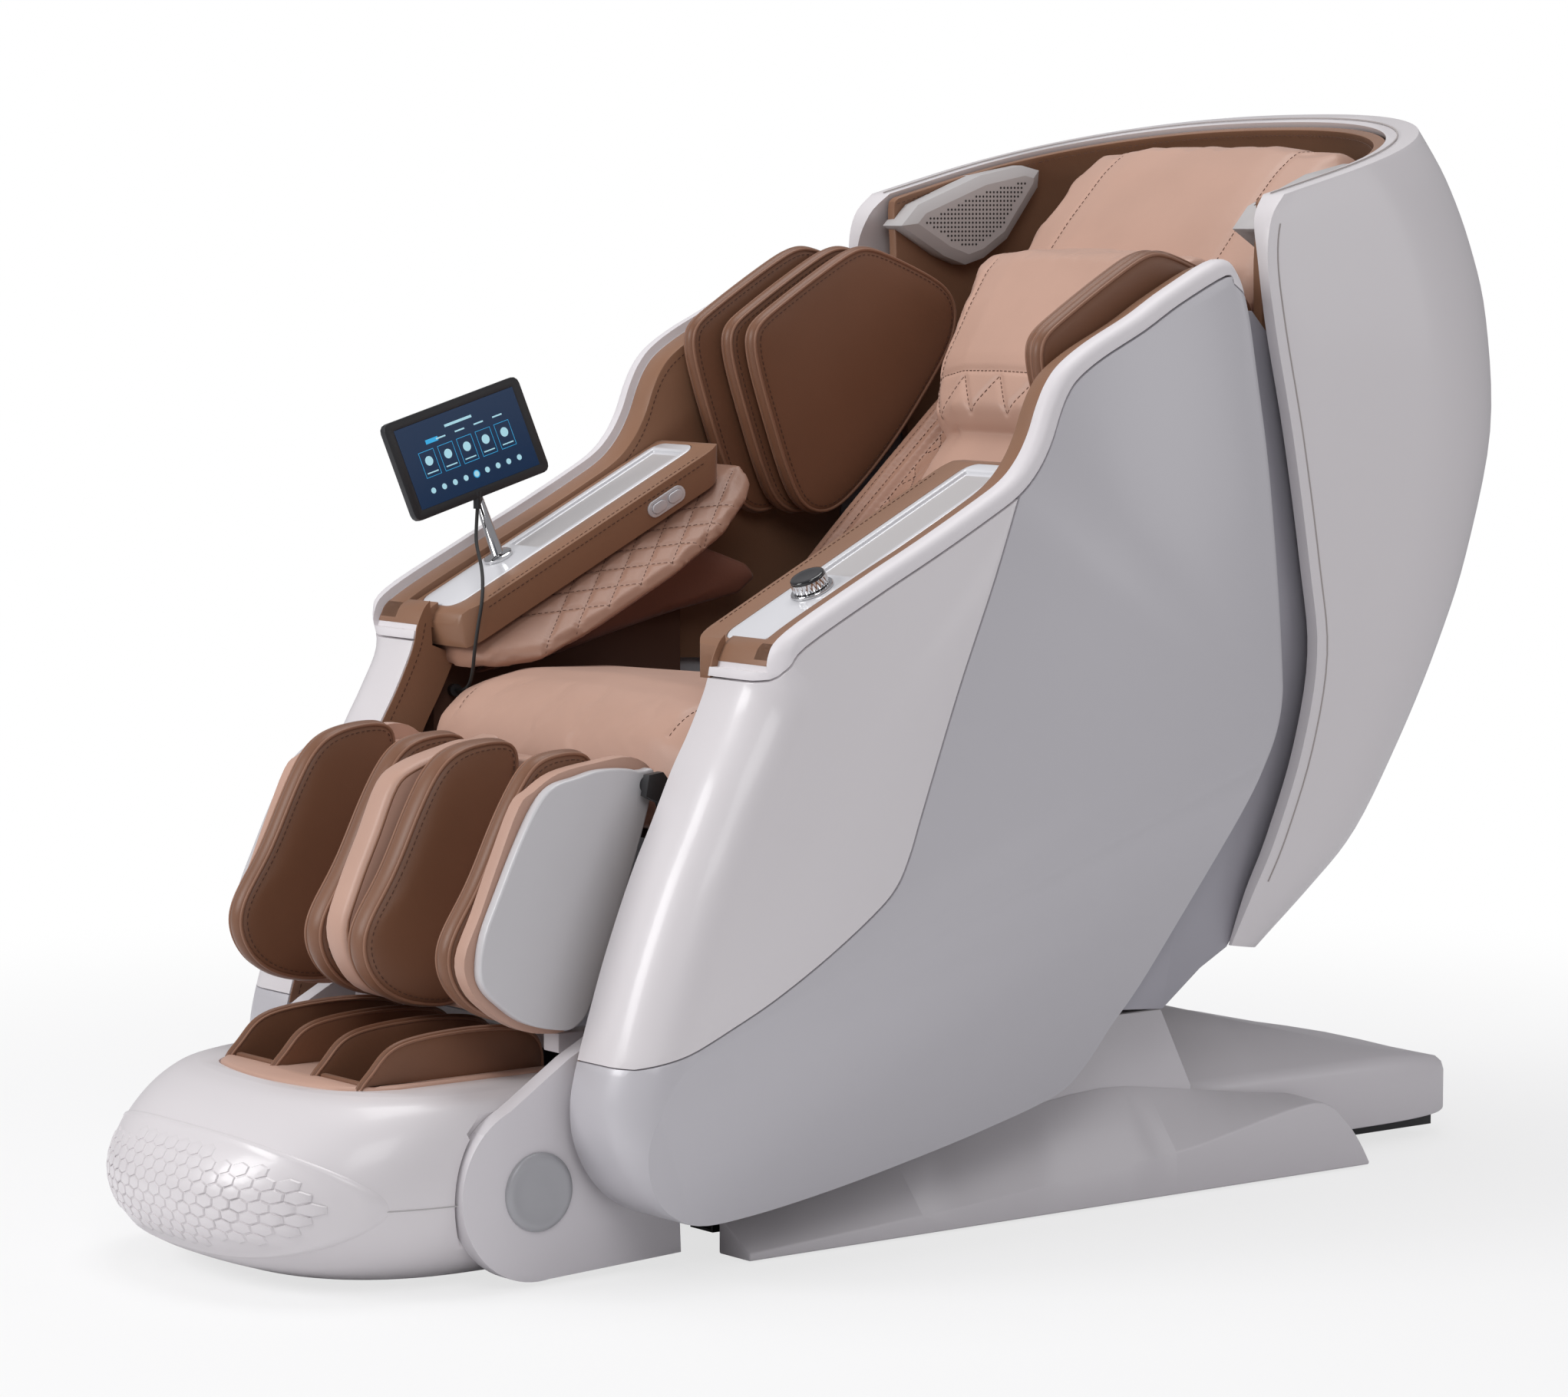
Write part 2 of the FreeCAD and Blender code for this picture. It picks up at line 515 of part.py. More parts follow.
def cord(points, radius, sides=10):
    """A tube along the smooth curve that the points guide, with true section area."""
    pts = [V(*p) for p in points]
    path = [pts[0]]
    for i in range(1, len(pts) - 1):
        start = pts[0] if i == 1 else (pts[i - 1] + pts[i]) * 0.5
        end = pts[-1] if i == len(pts) - 2 else (pts[i] + pts[i + 1]) * 0.5
        path += [start * (1 - t) ** 2 + pts[i] * (2 * t * (1 - t)) + end * t ** 2 for t in (0.33, 0.67, 1.0)]
    rings, side = [], V(1, 0, 0)
    for i, here in enumerate(path):
        way = (path[min(i + 1, len(path) - 1)] - path[max(i - 1, 0)]).normalize()
        side = (side - way * side.dot(way)).normalize()
        spread = math.sqrt(2 * math.pi / (sides * math.sin(2 * math.pi / sides)))
        rings.append(ring(here, way, side, radius * spread, sides))
    print("cord length %.1f mm" % sum((b - a).Length for a, b in zip(path, path[1:])))
    return skin(rings)


save("tablet_cord", cord(CORD_POINTS, CORD_R))
end_way = (V(*CORD_POINTS[-1]) - V(*CORD_POINTS[-2])).normalize()
save("tablet_plug", Part.makeCylinder(4.5, 20, V(*CORD_POINTS[0]) + V(0, 0, 0.3), V(0, 0, 1)).cut(case))
save("cord_gland", Part.makeCylinder(7, 16, V(*CORD_POINTS[-1]), end_way).cut(other_side(arm_frame)))

# Hood: levels of a U in plan, each (front z, back z, front y, straight to y, back y, half width)
HOOD = [(286, 268, 36, 50, 150, 350), (345, 338, 56, 90, 262, 364), (404, 396, 84, 140, 335, 369),
        (500, 494, 122, 190, 414, HOOD_HALF), (604, 600, 143, 240, 480, HOOD_HALF),
        (705, 700, 130, 270, 532, HOOD_HALF), (845, 838, 104, 290, 577, HOOD_HALF),
        (965, 970, 76, 280, 568, HOOD_HALF), (1040, 1060, 64, 250, 542, 369),
        (1086, 1140, 71, 210, 506, 367), (1112, 1206, 94, 170, 466, 362)]
BOW = 2.3
QUARTER = 9


def hood_path(level, draw, z_off=0.0, y_front=None):
    """Open U path of one level, drawn in by draw."""
    zf, zb, yf, ys, yb, half = level
    yf = yf if y_front is None else y_front
    half, yb = half - draw, yb - draw * 1.1
    pts = [(half, yf)]
    for k in range(QUARTER + 1):
        a = math.radians(90.0 * k / QUARTER)
        pts.append((half * math.cos(a) ** (2 / BOW) if k < QUARTER else 0.0,
                    ys + (yb - ys) * math.sin(a) ** (2 / BOW)))
    pts += [(-x, y) for x, y in reversed(pts[:-1])]
    slope = (zb - zf) / (level[4] - level[2])
    return [(x, y, zf + slope * (y - level[2]) + z_off) for x, y in pts]


def hood_band(level, outer, inner, z_off=0.0, y_front=None):
    return hood_path(level, outer, z_off, y_front) + hood_path(level, inner, z_off, y_front)[::-1]


inner_draw = [4.5, 14.0] + [HOOD_SKIN] * (len(HOOD) - 4) + [RIM_WIDTH - 6, RIM_WIDTH]
hood = skin([hood_band(level, 0, d) for level, d in zip(HOOD, inner_draw)])
notch = block(-256, 256, -100, 300, 200, 345)
save("hood_shell", hood.cut(notch))
lining_levels = [(l, 42) for l in HOOD[5:9]] + [(HOOD[9], 36), (HOOD[10], RIM_WIDTH + 0.3)]


def lining_section(level, draw, first, last):
    """One sewn panel's section of the lining, between two points of the U."""
    z_off, y_front = (-5 if level is HOOD[10] else 0), max(level[2] + 4, 92)
    outer = hood_path(level, draw, z_off, y_front)[first:last + 1]
    return outer + hood_path(level, draw + 14, z_off, y_front)[first:last + 1][::-1]


PANEL_ENDS = (0, 3, 6, 10, 14, 17, 20)
hood_lining = group([skin([lining_section(level, d, first, last) for level, d in lining_levels])
                     for first, last in zip(PANEL_ENDS, PANEL_ENDS[1:])])


def back_box(u0, u1, n0, n1, x0, x1):
    """A block that lies along the back."""
    return prism([back_point(u0, n0), back_point(u1, n0), back_point(u1, n1), back_point(u0, n1)], x0, x1)


# Back frame: two side plates with the hinge eyes, cross tubes, massage tracks, hood outriggers
side_plate = prism([back_point(30, -60), back_point(600, -60), back_point(600, -184), back_point(120, -190),
                    back_point(60, -190)], 234, 242)
eye = prism([(py - 22, pz - 6), (py + 26, pz - 8), back_point(150, -188), back_point(40, -70)], 234, 242)
side_plate = side_plate.fuse([eye, rod_x(234, 242, py, pz, 26)]).cut(rod_x(230, 260, py, pz, PIN_R + RUNNING))
crosses = [back_box(u, u + 34, -180, -150, -234, 234).cut(back_box(u + 3, u + 31, -177, -153, -235, 235))
           for u in (88, 330, 560)]
tracks = [back_box(100, 600, -150, -128, side - 5, side + 5) for side in (-117, 117)]
lever = prism([back_point(122, -150), back_point(168, -164), back_point(164, -190), back_point(140, -192),
               back_point(122, -180)], 15, 23)
lever_pin = rod_x(-15, 15, DRIVE_EYE.y, DRIVE_EYE.z, 5)
HOOD_INSIDE = HOOD_HALF - HOOD_SKIN
outriggers = [back_box(330, 372, -340, -150, 242, 250), back_box(336, 366, -340, -310, 250, HOOD_INSIDE),
              back_box(552, 594, -196, -100, 242, 250), back_box(558, 588, -196, -166, 250, HOOD_INSIDE)]
reach = [o.cut(hood) for o in outriggers]
reach += [other_side(r) for r in reach]
save("back_frame", group([side_plate, other_side(side_plate), lever, other_side(lever), lever_pin] + crosses
                         + tracks + reach))
hood_lining = group([panel.cut(group(reach)) for panel in hood_lining.Solids])
save("hood_lining", hood_lining)
board = back_box(10, 560, -60, -52, 124, 298)
save("back_boards", both(board))

# Massage carriage with its two pairs of rollers
CARRIAGE_U = 150.0
gear_case = back_box(CARRIAGE_U + 26, CARRIAGE_U + 64, -146, -108, -111.8, 111.8)
arms = [back_box(CARRIAGE_U - 24, CARRIAGE_U + 114, -112, -90, side - 6, side + 6) for side in (-50, 50)]
ROLLER_U = (CARRIAGE_U - 10, CARRIAGE_U + 100)
carriage = gear_case.fuse(arms)
for u in ROLLER_U:
    carriage = carriage.cut(rod_x(-95, 95, *back_point(u, -100), 5 + RUNNING))
save("roller_carriage", carriage)
for name, u in (("lower", ROLLER_U[0]), ("upper", ROLLER_U[1])):
    y, z = back_point(u, -100)
    rollers = rod_x(-92, 92, y, z, 5)
    for s in (-1, 1):
        barrel = skin([[(s * x, y + r * math.cos(k * math.pi / 6), z + r * math.sin(k * math.pi / 6))
                        for k in range(12)] for x, r in ((62, 20), (70, 29), (80, 31), (90, 29), (98, 20))])
        rollers = rollers.fuse(barrel)
    save("massage_rollers_" + name, rollers)

# Back pad: six sewn channels across, bowed out over the lumbar region
PAD_X = [-222, -206, -186, -166, -150, -112, -75, -37, 0, 37, 75, 112, 150, 166, 186, 206, 222]
PAD_N = [-8, 8, 14, 8, 0, 13, 2, 14, 12, 14, 2, 13, 0, 8, 14, 8, -8]


def pad_section(u, bow, shrink):
    front = [(x * shrink, *back_point(u, n + bow)) for x, n in zip(PAD_X, PAD_N)]
    rear = [(x * shrink, *back_point(u, -52)) for x in PAD_X]
    return front + rear[::-1]


BACK_LEVELS = ((4, -26, 0.95), (22, -8, 1), (120, 0, 1), (260, 2, 1), (420, 0, 1), (560, -4, 0.99),
               (600, -16, 0.96))
save("back_pad", skin([pad_section(*level) for level in BACK_LEVELS]))

# Head pad, neck pillow and its flap, all hung on the back pad
head = [(610, -6, 30, 214), (626, -8, 42, 224), (700, -8, 50, 232), (780, -8, 54, 230), (830, -6, 50, 222),
        (846, 4, 34, 212)]


def soft_section(u, n0, n1, half, dome=10):
    edge = (n0 + n1) / 2
    profile = [(half, edge), (half - 14, n1 - 6), (half * 0.5, n1 + dome * 0.8), (0, n1 + dome),
               (-half * 0.5, n1 + dome * 0.8), (-half + 14, n1 - 6), (-half, edge), (-half + 14, n0),
               (half - 14, n0)]
    return [(x, *back_point(u, n)) for x, n in profile]


save("head_pad", skin([soft_section(*h) for h in head]))
pillow = [(366, 18, 40, 110), (378, 17, 62, 124), (440, 17, 84, 150), (520, 17, 96, 176), (580, 18, 104, 190),
          (604, 24, 98, 194), (616, 66, 92, 186)]
flap = [(280, 17, 27, 72), (292, 17, 35, 94), (330, 17, 37, 102), (358, 17, 37, 106)]
save("neck_pillow", group([skin([soft_section(*p) for p in pillow]),
                           skin([soft_section(*f, 2) for f in flap])]))

# Speaker pods on the hood lining
POD = [(84, 1074), (108, 1099), (200, 1134), (262, 1146), (288, 1140), (286, 1120), (240, 1058), (205, 1035),
       (178, 1027), (146, 1038)]
pod = skin_x([(284, inset(POD, 12)), (291, POD), (330, POD)])
pod.rotate(V(311, 84, 0), V(0, 0, 1), 3.5)
pod = max(pod.cut(hood_lining).cut(hood).Solids, key=lambda solid: solid.Volume)
save("speakers", both(pod))

# Leg rest: shell with side walls, back wall and centre partition
CALF = [(-899, 340), (-891, 307), (-865, 281), (-832, 262), (-803, 255), (-770, 258), (-742, 300), (-668, 500),
        (-664, 518), (-690, 533), (-735, 530), (-782, 522), (-812, 506), (-831, 491), (-859, 431), (-879, 385)]
side_wall = skin_x([(206, inset(CALF, 4)), (212, CALF), (222, CALF), (224, inset(CALF, 4))])
back_wall_outline = [(-803, 262), (-770, 260), (-742, 300), (-668, 500), (-672, 516), (-706, 516), (-772, 300)]
back_wall = prism(back_wall_outline, -206, 206)
partition_outline = [(-913, 348), (-900, 306), (-868, 276), (-800, 262), (-774, 300), (-706, 516), (-736, 535),
                     (-776, 529), (-822, 516), (-849, 497), (-873, 446), (-897, 395)]
side_wall = side_wall.cut(rod_x(204, 226, KP_Y, KP_Z, PIN_R + RUNNING))
partition = skin_x([(-20, inset(partition_outline, 6)), (-13, partition_outline), (13, partition_outline),
                    (20, inset(partition_outline, 6))])
calf_shell = group([back_wall, side_wall, other_side(side_wall), partition.cut(back_wall)])
PLATE = [(-889, 329), (-883, 309), (-865, 291), (-836, 271), (-798, 260), (-768, 262), (-742, 304), (-672, 500),
         (-690, 520), (-735, 524), (-768, 518), (-797, 511), (-818, 492), (-840, 455), (-864, 406), (-883, 364)]
side_plate = skin_x([(224, PLATE), (234, PLATE), (239, inset(PLATE, 8))])
side_plate = side_plate.cut(rod_x(200, 260, KP_Y, KP_Z, PIN_R + 3))
save("calf_side_plates", both(side_plate))
CUSHION = [(-924, 346), (-912, 300), (-880, 274), (-830, 262), (-790, 266), (-766, 320), (-722, 480),
           (-716, 536),
           (-740, 543), (-790, 538), (-822, 522), (-850, 478), (-884, 410)]
calf_cushions = []
for x0, x1, shift in ((-204, -168, 0), (-70, -24, 10), (24, 70, 4), (168, 204, 18)):
    outline = [(y + (shift if y < -800 else 0), z) for y, z in CUSHION]
    calf_cushions.append(pad_x(outline, x0, x1, 6, 7, 20).cut(calf_shell))
save("calf_cushions", group(calf_cushions))

# Slides of the leg rest: two rods behind the calf shell, each in a sleeve
LEG_RUN = math.hypot(74, 200)
LEG_UP = V(0, 74 / LEG_RUN, 200 / LEG_RUN)
ROD_FOOT = V(180, -748, 246)
ROD_R = 9.0
sleeve = turned(ROD_FOOT + LEG_UP * 110, LEG_UP, [(0, 15), (60, 15)])
sleeve = sleeve.cut(Part.makeCylinder(ROD_R + RUNNING, 400, ROD_FOOT - LEG_UP * 20, LEG_UP)).cut(calf_shell)
save("calf_shell", group(calf_shell.Solids + [sleeve, other_side(sleeve)]))
rod = Part.makeCylinder(ROD_R, 250, ROD_FOOT, LEG_UP)

# Foot brackets: plates with a round end at the foot pivot, joined by a cross plate
FP_Y, FP_Z = FOOT_PIVOT
arm_points = [(FP_Y - 60, FP_Z + 80), (-790, 236), (-748, 254), (-700, 254), (-660, 200), (-652, 14), (FP_Y, 7),
              (FP_Y - 30, 20)]
bracket_disc = prism(ring_outline(FP_Y, FP_Z, BRACKET_R - 7, 48), 236, 258)
foot_bracket = prism(arm_points, 236, 258).fuse(bracket_disc)
foot_bracket = foot_bracket.fuse(rod_x(226, 236, FP_Y, FP_Z, 14))
cross_plate = block(-236, 236, -704, -680, 212, 226)
cross_foot = block(166, 194, -762, -690, 226, 247)
rods = [rod.fuse(cross_foot), other_side(rod.fuse(cross_foot))]
save("foot_brackets", group([foot_bracket, other_side(foot_bracket), cross_plate] + rods))
save("pivot_caps", both(skin_x([(258, ring_outline(FP_Y, FP_Z, 40)), (262, ring_outline(FP_Y, FP_Z, 39)),
                                (264, ring_outline(FP_Y, FP_Z, 34))])))

# Foot unit: levels of a rounded D in plan, (z, front y, half width)
FOOT = [(10, -1040, 190), (30, -1092, 224), (62, -1122, 244), (100, -1130, 252), (140, -1112, 250),
        (172, -1080, 242), (192, -1046, 228), (200, -1020, 208)]
FOOT_REAR = -740.0


def foot_level(z, front, half, draw=0.0):
    half, front = half - draw, front + draw
    pts = [(half, FOOT_REAR, z), (half, -860, z)]
    for k in range(1, 9):
        a = math.radians(90 * k / 9)
        pts.append((half * math.cos(a) ** 0.8, -860 + (front + 860) * math.sin(a) ** 0.8, z))
    pts.append((0, front, z))
    return pts + [(-x, y, zz) for x, y, zz in reversed(pts[:-1])]


foot = skin([foot_level(*level) for level in FOOT])
heel = prism([(FP_Y, FP_Z), (FP_Y, -10), (-600, -10), (-600, FP_Z)], -300, 300)
foot = foot.cut(heel.cut(prism(ring_outline(FP_Y, FP_Z, BRACKET_R - 8, 48), -301, 301)))
recess = prism([(FP_Y - 77, FP_Z + 66), (FP_Y + 25, FP_Z + 155), (-640, 270), (-640, -10), (FP_Y, -10)],
               234, 275)
recess = recess.fuse(prism(ring_outline(FP_Y, FP_Z, BRACKET_R, 48), 234, 275))
pivot_hole = rod_x(220, 240, FP_Y, FP_Z, 14 + RUNNING)
for cut in (recess, pivot_hole):
    foot = foot.cut(cut).cut(other_side(cut))

# Wells for the feet, with a shaft of rollers under each floor
WELL_X = (32.0, 134.0)
WELL_Y = (-960.0, -700.0)
well = block(*WELL_X, *WELL_Y, 40, 260)
foot = foot.cut(well).cut(other_side(well))
ROLLER_Y, ROLLER_Z = -870.0, 68.0
shaft_hole = rod_x(-142, 142, ROLLER_Y, ROLLER_Z, 5 + RUNNING)
foot = foot.cut(shaft_hole)
foot_rollers = rod_x(-141, 141, ROLLER_Y, ROLLER_Z, 5)
for x in (-122, 44):
    barrel = turned(V(x, ROLLER_Y, ROLLER_Z), V(1, 0, 0), [(0, 17), (8, 22), (70, 22), (78, 17)])
    foot_rollers = foot_rollers.fuse(barrel)
save("foot_rollers", foot_rollers)


def well_lining():
    x0, x1 = WELL_X
    y0, y1 = WELL_Y[0], FOOT_REAR
    flap = [(y0 + 14, 96), (y0 + 4, 200), (y0 + 30, 250), (-800, 254), (y1 + 2, 232), (y1, 150), (y1, 96)]
    floor = block(x0, x1, y0, y1, 96, 104)
    toe = block(x0, x1, y0, y0 + 8, 104, 206)
    return group([floor, toe.cut(prism(flap, x0, x0 + 14)).cut(prism(flap, x1 - 14, x1)),
                  prism(flap, x0, x0 + 14).cut(floor), prism(flap, x1 - 14, x1).cut(floor)])


save("foot_wells", both(well_lining()))
pan_outline = ((150, -742), (150, -930), (132, -968), (96, -992), (0, -1006), (-96, -992), (-132, -968),
               (-150, -930), (-150, -742))
pan = skin([[(x, y, z) for x, y in pan_outline] for z in (194, 230)])
foot = foot.cut(pan)
surround = pan.common(block(-200, 200, -1100, FOOT_REAR - 2, 194, 202)).cut(well).cut(other_side(well))
save("foot_surround", surround)

# Front panel let into the shell
PANEL_HALF, PANEL_RISE, PANEL_Z = 205.0, 50.0, 92.0
turns = [2 * math.pi * k / 36 for k in range(36)]
oval = [(PANEL_HALF * math.cos(a), -1300, PANEL_Z + PANEL_RISE * math.sin(a)) for a in turns]
panel_window = Part.Face(wire(oval)).extrude(V(0, 400, 0))
core = skin([foot_level(*level, 4.0) for level in FOOT])
front_panel_foot = foot.common(panel_window).cut(core)
save("foot_front_panel", front_panel_foot)
save("foot_shell", foot.cut(front_panel_foot))

# Recline drive: motor tube that swings on the carriage, rod that draws in
way = (DRIVE_EYE - DRIVE_FOOT).normalize()
reach_len = (DRIVE_EYE - DRIVE_FOOT).Length
tube = turned(DRIVE_FOOT + way * 12, way, [(0, 18), (236, 18), (240, 16)])
tube = tube.fuse(prism(ring_outline(DRIVE_FOOT.y, DRIVE_FOOT.z, 16, 20), -16, 16))
motor = turned(DRIVE_FOOT + way * 20 + V(0, -44, 0), way, [(0, 20), (3, 22), (67, 22), (70, 20)])
motor = motor.fuse(block(-14, 14, -110, -60, 150, 180))
bore = Part.makeCylinder(10 + RUNNING, 300, DRIVE_FOOT + way * 24, way)
pin_hole = rod_x(-40, 40, DRIVE_FOOT.y, DRIVE_FOOT.z, 6 + RUNNING)
save("recline_motor", tube.fuse(motor).cut(bore).cut(pin_hole))
push_rod = Part.makeCylinder(10, reach_len - 80, DRIVE_FOOT + way * 70, way)
push_rod = push_rod.fuse(prism(ring_outline(DRIVE_EYE.y, DRIVE_EYE.z, 15, 20), -12, 12))
save("recline_rod", push_rod.cut(rod_x(-40, 40, DRIVE_EYE.y, DRIVE_EYE.z, 8)))
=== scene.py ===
# %% [markdown]
# # A reclining massage chair
# The chair is a large white and grey shell around brown leather air cushions. The script
# loads the engineer's model as a fixed frame, then dresses it piece by piece. It starts
# with the camera, the light and the one free cord, because they settle the view.

# %% Load the frame
import bpy
import json
import math
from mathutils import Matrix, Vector
from mathutils.kdtree import KDTree


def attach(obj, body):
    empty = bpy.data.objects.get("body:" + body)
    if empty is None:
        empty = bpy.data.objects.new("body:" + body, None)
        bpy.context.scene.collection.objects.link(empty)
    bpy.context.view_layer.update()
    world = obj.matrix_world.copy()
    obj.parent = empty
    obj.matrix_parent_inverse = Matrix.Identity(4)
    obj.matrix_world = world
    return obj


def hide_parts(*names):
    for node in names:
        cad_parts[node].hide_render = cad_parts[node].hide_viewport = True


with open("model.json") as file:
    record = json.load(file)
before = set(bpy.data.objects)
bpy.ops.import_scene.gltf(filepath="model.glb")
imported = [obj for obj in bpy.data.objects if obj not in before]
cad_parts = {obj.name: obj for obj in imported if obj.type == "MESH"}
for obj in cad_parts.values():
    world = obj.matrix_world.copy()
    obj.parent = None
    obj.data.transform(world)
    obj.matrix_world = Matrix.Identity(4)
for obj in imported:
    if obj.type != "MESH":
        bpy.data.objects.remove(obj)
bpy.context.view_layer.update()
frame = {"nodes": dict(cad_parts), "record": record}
MM = 0.001
STATION = 276.5            # the drawing station lies this far in front of the chair's middle
WELD = 0.00002             # metres between points that count as one
FRAME_WELD = 0.00005       # the same for the frame's own meshes


def at(x, y, z):
    """A point given in the drawing's millimetres, in metres in the frame."""
    return Vector((x * MM, (y + STATION) * MM, z * MM))


def deselect():
    if bpy.context.mode != "OBJECT":
        bpy.ops.object.mode_set(mode="OBJECT")
    bpy.ops.object.select_all(action="DESELECT")


def activate(piece):
    deselect()
    piece.select_set(True)
    bpy.context.view_layer.objects.active = piece


deselect()

# %% [markdown]
# ## Camera and light
# The photograph looks at the chair from its front left, a little above seat height, with
# a long lens. The room is a pale cyclorama. Four soft area lamps and a dim world light
# the chair, and the background gets its white from what the camera alone sees.

# %% Camera
camera_data = bpy.data.cameras.new("camera")
camera_data.lens = 119.31
camera_data.sensor_width = 36.0
camera = bpy.data.objects.new("camera", camera_data)
bpy.context.collection.objects.link(camera)
camera.location = at(4557, -3823, 1119)
AZ, EL = math.radians(52.435), math.radians(5.611)
look = Vector((-math.sin(AZ) * math.cos(EL), math.cos(AZ) * math.cos(EL), -math.sin(EL)))
camera.rotation_euler = look.to_track_quat("-Z", "Y").to_euler()
bpy.context.scene.camera = camera
bpy.context.scene.view_settings.view_transform = "Standard"

# %% Lamps and world


def lamp(name, place, size, watts):
    """A soft square lamp that faces the chair."""
    data = bpy.data.lights.new(name, "AREA")
    data.size = size
    data.energy = watts
    light = bpy.data.objects.new(name, data)
    bpy.context.collection.objects.link(light)
    light.location = Vector(place)
    aim = Vector((0, 0.2, 0.6)) if name == "rim" else Vector((0, 0, 0.5))
    light.rotation_euler = (aim - light.location).to_track_quat("-Z", "Y").to_euler()


def add_node(tree, kind, operation=None, **inputs):
    """A new shader node with its operation and its input sockets set."""
    made = tree.nodes.new("ShaderNode" + kind)
    if operation:
        made.operation = operation
    for key, value in inputs.items():
        made.inputs[key.replace("_", " ")].default_value = value
    return made


for name, place, size, watts in (("key", (3.4, -2.4, 3.0), 1.8, 38), ("front", (-1.3, -3.9, 2.3), 1.6, 78),
                                 ("top", (-0.4, 0.2, 4.2), 2.2, 62), ("rim", (3.4, 3.0, 1.8), 2.0, 18)):
    lamp(name, place, size, watts)
world = bpy.data.worlds.new("world")
bpy.context.scene.world = world
world.use_nodes = True
tree = world.node_tree
tree.nodes.clear()
ambient = add_node(tree, "Background", Color=(0.97, 0.96, 1.0, 1), Strength=0.30)
seen = add_node(tree, "Background", Color=(1, 1, 1, 1), Strength=1.0)
path = add_node(tree, "LightPath")
either = add_node(tree, "Math", "MAXIMUM")
mixed = add_node(tree, "MixShader")
tree.links.new(path.outputs["Is Camera Ray"], either.inputs[0])
tree.links.new(path.outputs["Is Transmission Ray"], either.inputs[1])
tree.links.new(either.outputs[0], mixed.inputs["Fac"])
tree.links.new(ambient.outputs[0], mixed.inputs[1])
tree.links.new(seen.outputs[0], mixed.inputs[2])
tree.links.new(mixed.outputs[0], add_node(tree, "OutputWorld").inputs["Surface"])

# %% [markdown]
# The floor takes the chair's soft shadow near its middle. Farther out, what the camera
# sees of it fades to the white of the backdrop.

# %% Floor
bpy.ops.mesh.primitive_plane_add(size=14, location=(0, 0, 0))
floor = bpy.context.active_object
floor.name = "floor"
floor_material = bpy.data.materials.new("floor_white")
floor_material.use_nodes = True
tree = floor_material.node_tree
shader = tree.nodes["Principled BSDF"]
shader.inputs["Base Color"].default_value = (0.86, 0.86, 0.87, 1)
shader.inputs["Roughness"].default_value = 0.9
shader.inputs["Specular IOR Level"].default_value = 0.1
place = add_node(tree, "TexCoord")
away = add_node(tree, "VectorMath", "LENGTH")
fade = add_node(tree, "MapRange", From_Min=0.9, From_Max=2.4, To_Min=0.72, To_Max=1.0)
fade.interpolation_type = "SMOOTHSTEP"
path = add_node(tree, "LightPath")
only_seen = add_node(tree, "Math", "MULTIPLY")
white = add_node(tree, "Emission", Color=(1, 1, 1, 1))
mixed = add_node(tree, "MixShader")
tree.links.new(place.outputs["Object"], away.inputs[0])
tree.links.new(away.outputs["Value"], fade.inputs["Value"])
tree.links.new(fade.outputs["Result"], only_seen.inputs[0])
tree.links.new(path.outputs["Is Camera Ray"], only_seen.inputs[1])
tree.links.new(only_seen.outputs[0], mixed.inputs["Fac"])
tree.links.new(shader.outputs[0], mixed.inputs[1])
tree.links.new(white.outputs[0], mixed.inputs[2])
tree.links.new(mixed.outputs[0], tree.nodes["Material Output"].inputs["Surface"])
floor.data.materials.append(floor_material)

# %% [markdown]
# ## Finishes
# Each finish is built from nodes: a base colour that drifts a little, a roughness that
# does the same, and a fine bump. Leather gets a cell-like grain and a soft sheen, and the
# moulded housings a faint orange-peel. All patterns read the object's own coordinates.

# %% Material helpers


def new_material(name, color, rough, drift=0.04, drift_scale=3.0, rough_drift=0.05):
    """A material whose colour and roughness wander slowly over the piece."""
    material = bpy.data.materials.new(name)
    material.use_nodes = True
    tree = material.node_tree
    shader = tree.nodes["Principled BSDF"]
    place = add_node(tree, "TexCoord")
    cloud = add_node(tree, "TexNoise", Scale=drift_scale, Detail=4.0)
    tree.links.new(place.outputs["Object"], cloud.inputs["Vector"])
    tint = add_node(tree, "ValToRGB")
    for stop, position, share in zip(tint.color_ramp.elements, (0.3, 0.7), (1 - drift, 1 + drift)):
        stop.position = position
        stop.color = tuple(min(1, c * share) for c in color) + (1,)
    tree.links.new(cloud.outputs["Fac"], tint.inputs["Fac"])
    tree.links.new(tint.outputs["Color"], shader.inputs["Base Color"])
    level = add_node(tree, "MapRange", To_Min=max(0.02, rough - rough_drift), To_Max=rough + rough_drift)
    tree.links.new(cloud.outputs["Fac"], level.inputs["Value"])
    tree.links.new(level.outputs["Result"], shader.inputs["Roughness"])
    return material, shader, place


def add_bump(tree, shader, height, strength, depth):
    bump = add_node(tree, "Bump", Strength=strength, Distance=depth)
    tree.links.new(height, bump.inputs["Height"])
    tree.links.new(bump.outputs["Normal"], shader.inputs["Normal"])


def moulded(name, color, rough, coat=0.0, metal=0.0):
    """A moulded and painted housing with a faint orange-peel."""
    material, shader, place = new_material(name, color, rough, 0.012, 2.0, 0.03)
    tree = material.node_tree
    peel = add_node(tree, "TexNoise", Scale=900.0, Detail=1.0)
    tree.links.new(place.outputs["Object"], peel.inputs["Vector"])
    add_bump(tree, shader, peel.outputs["Fac"], 0.06, 0.0002)
    shader.inputs["Metallic"].default_value = metal
    shader.inputs["Coat Weight"].default_value = coat
    shader.inputs["Coat Roughness"].default_value = 0.12
    return material


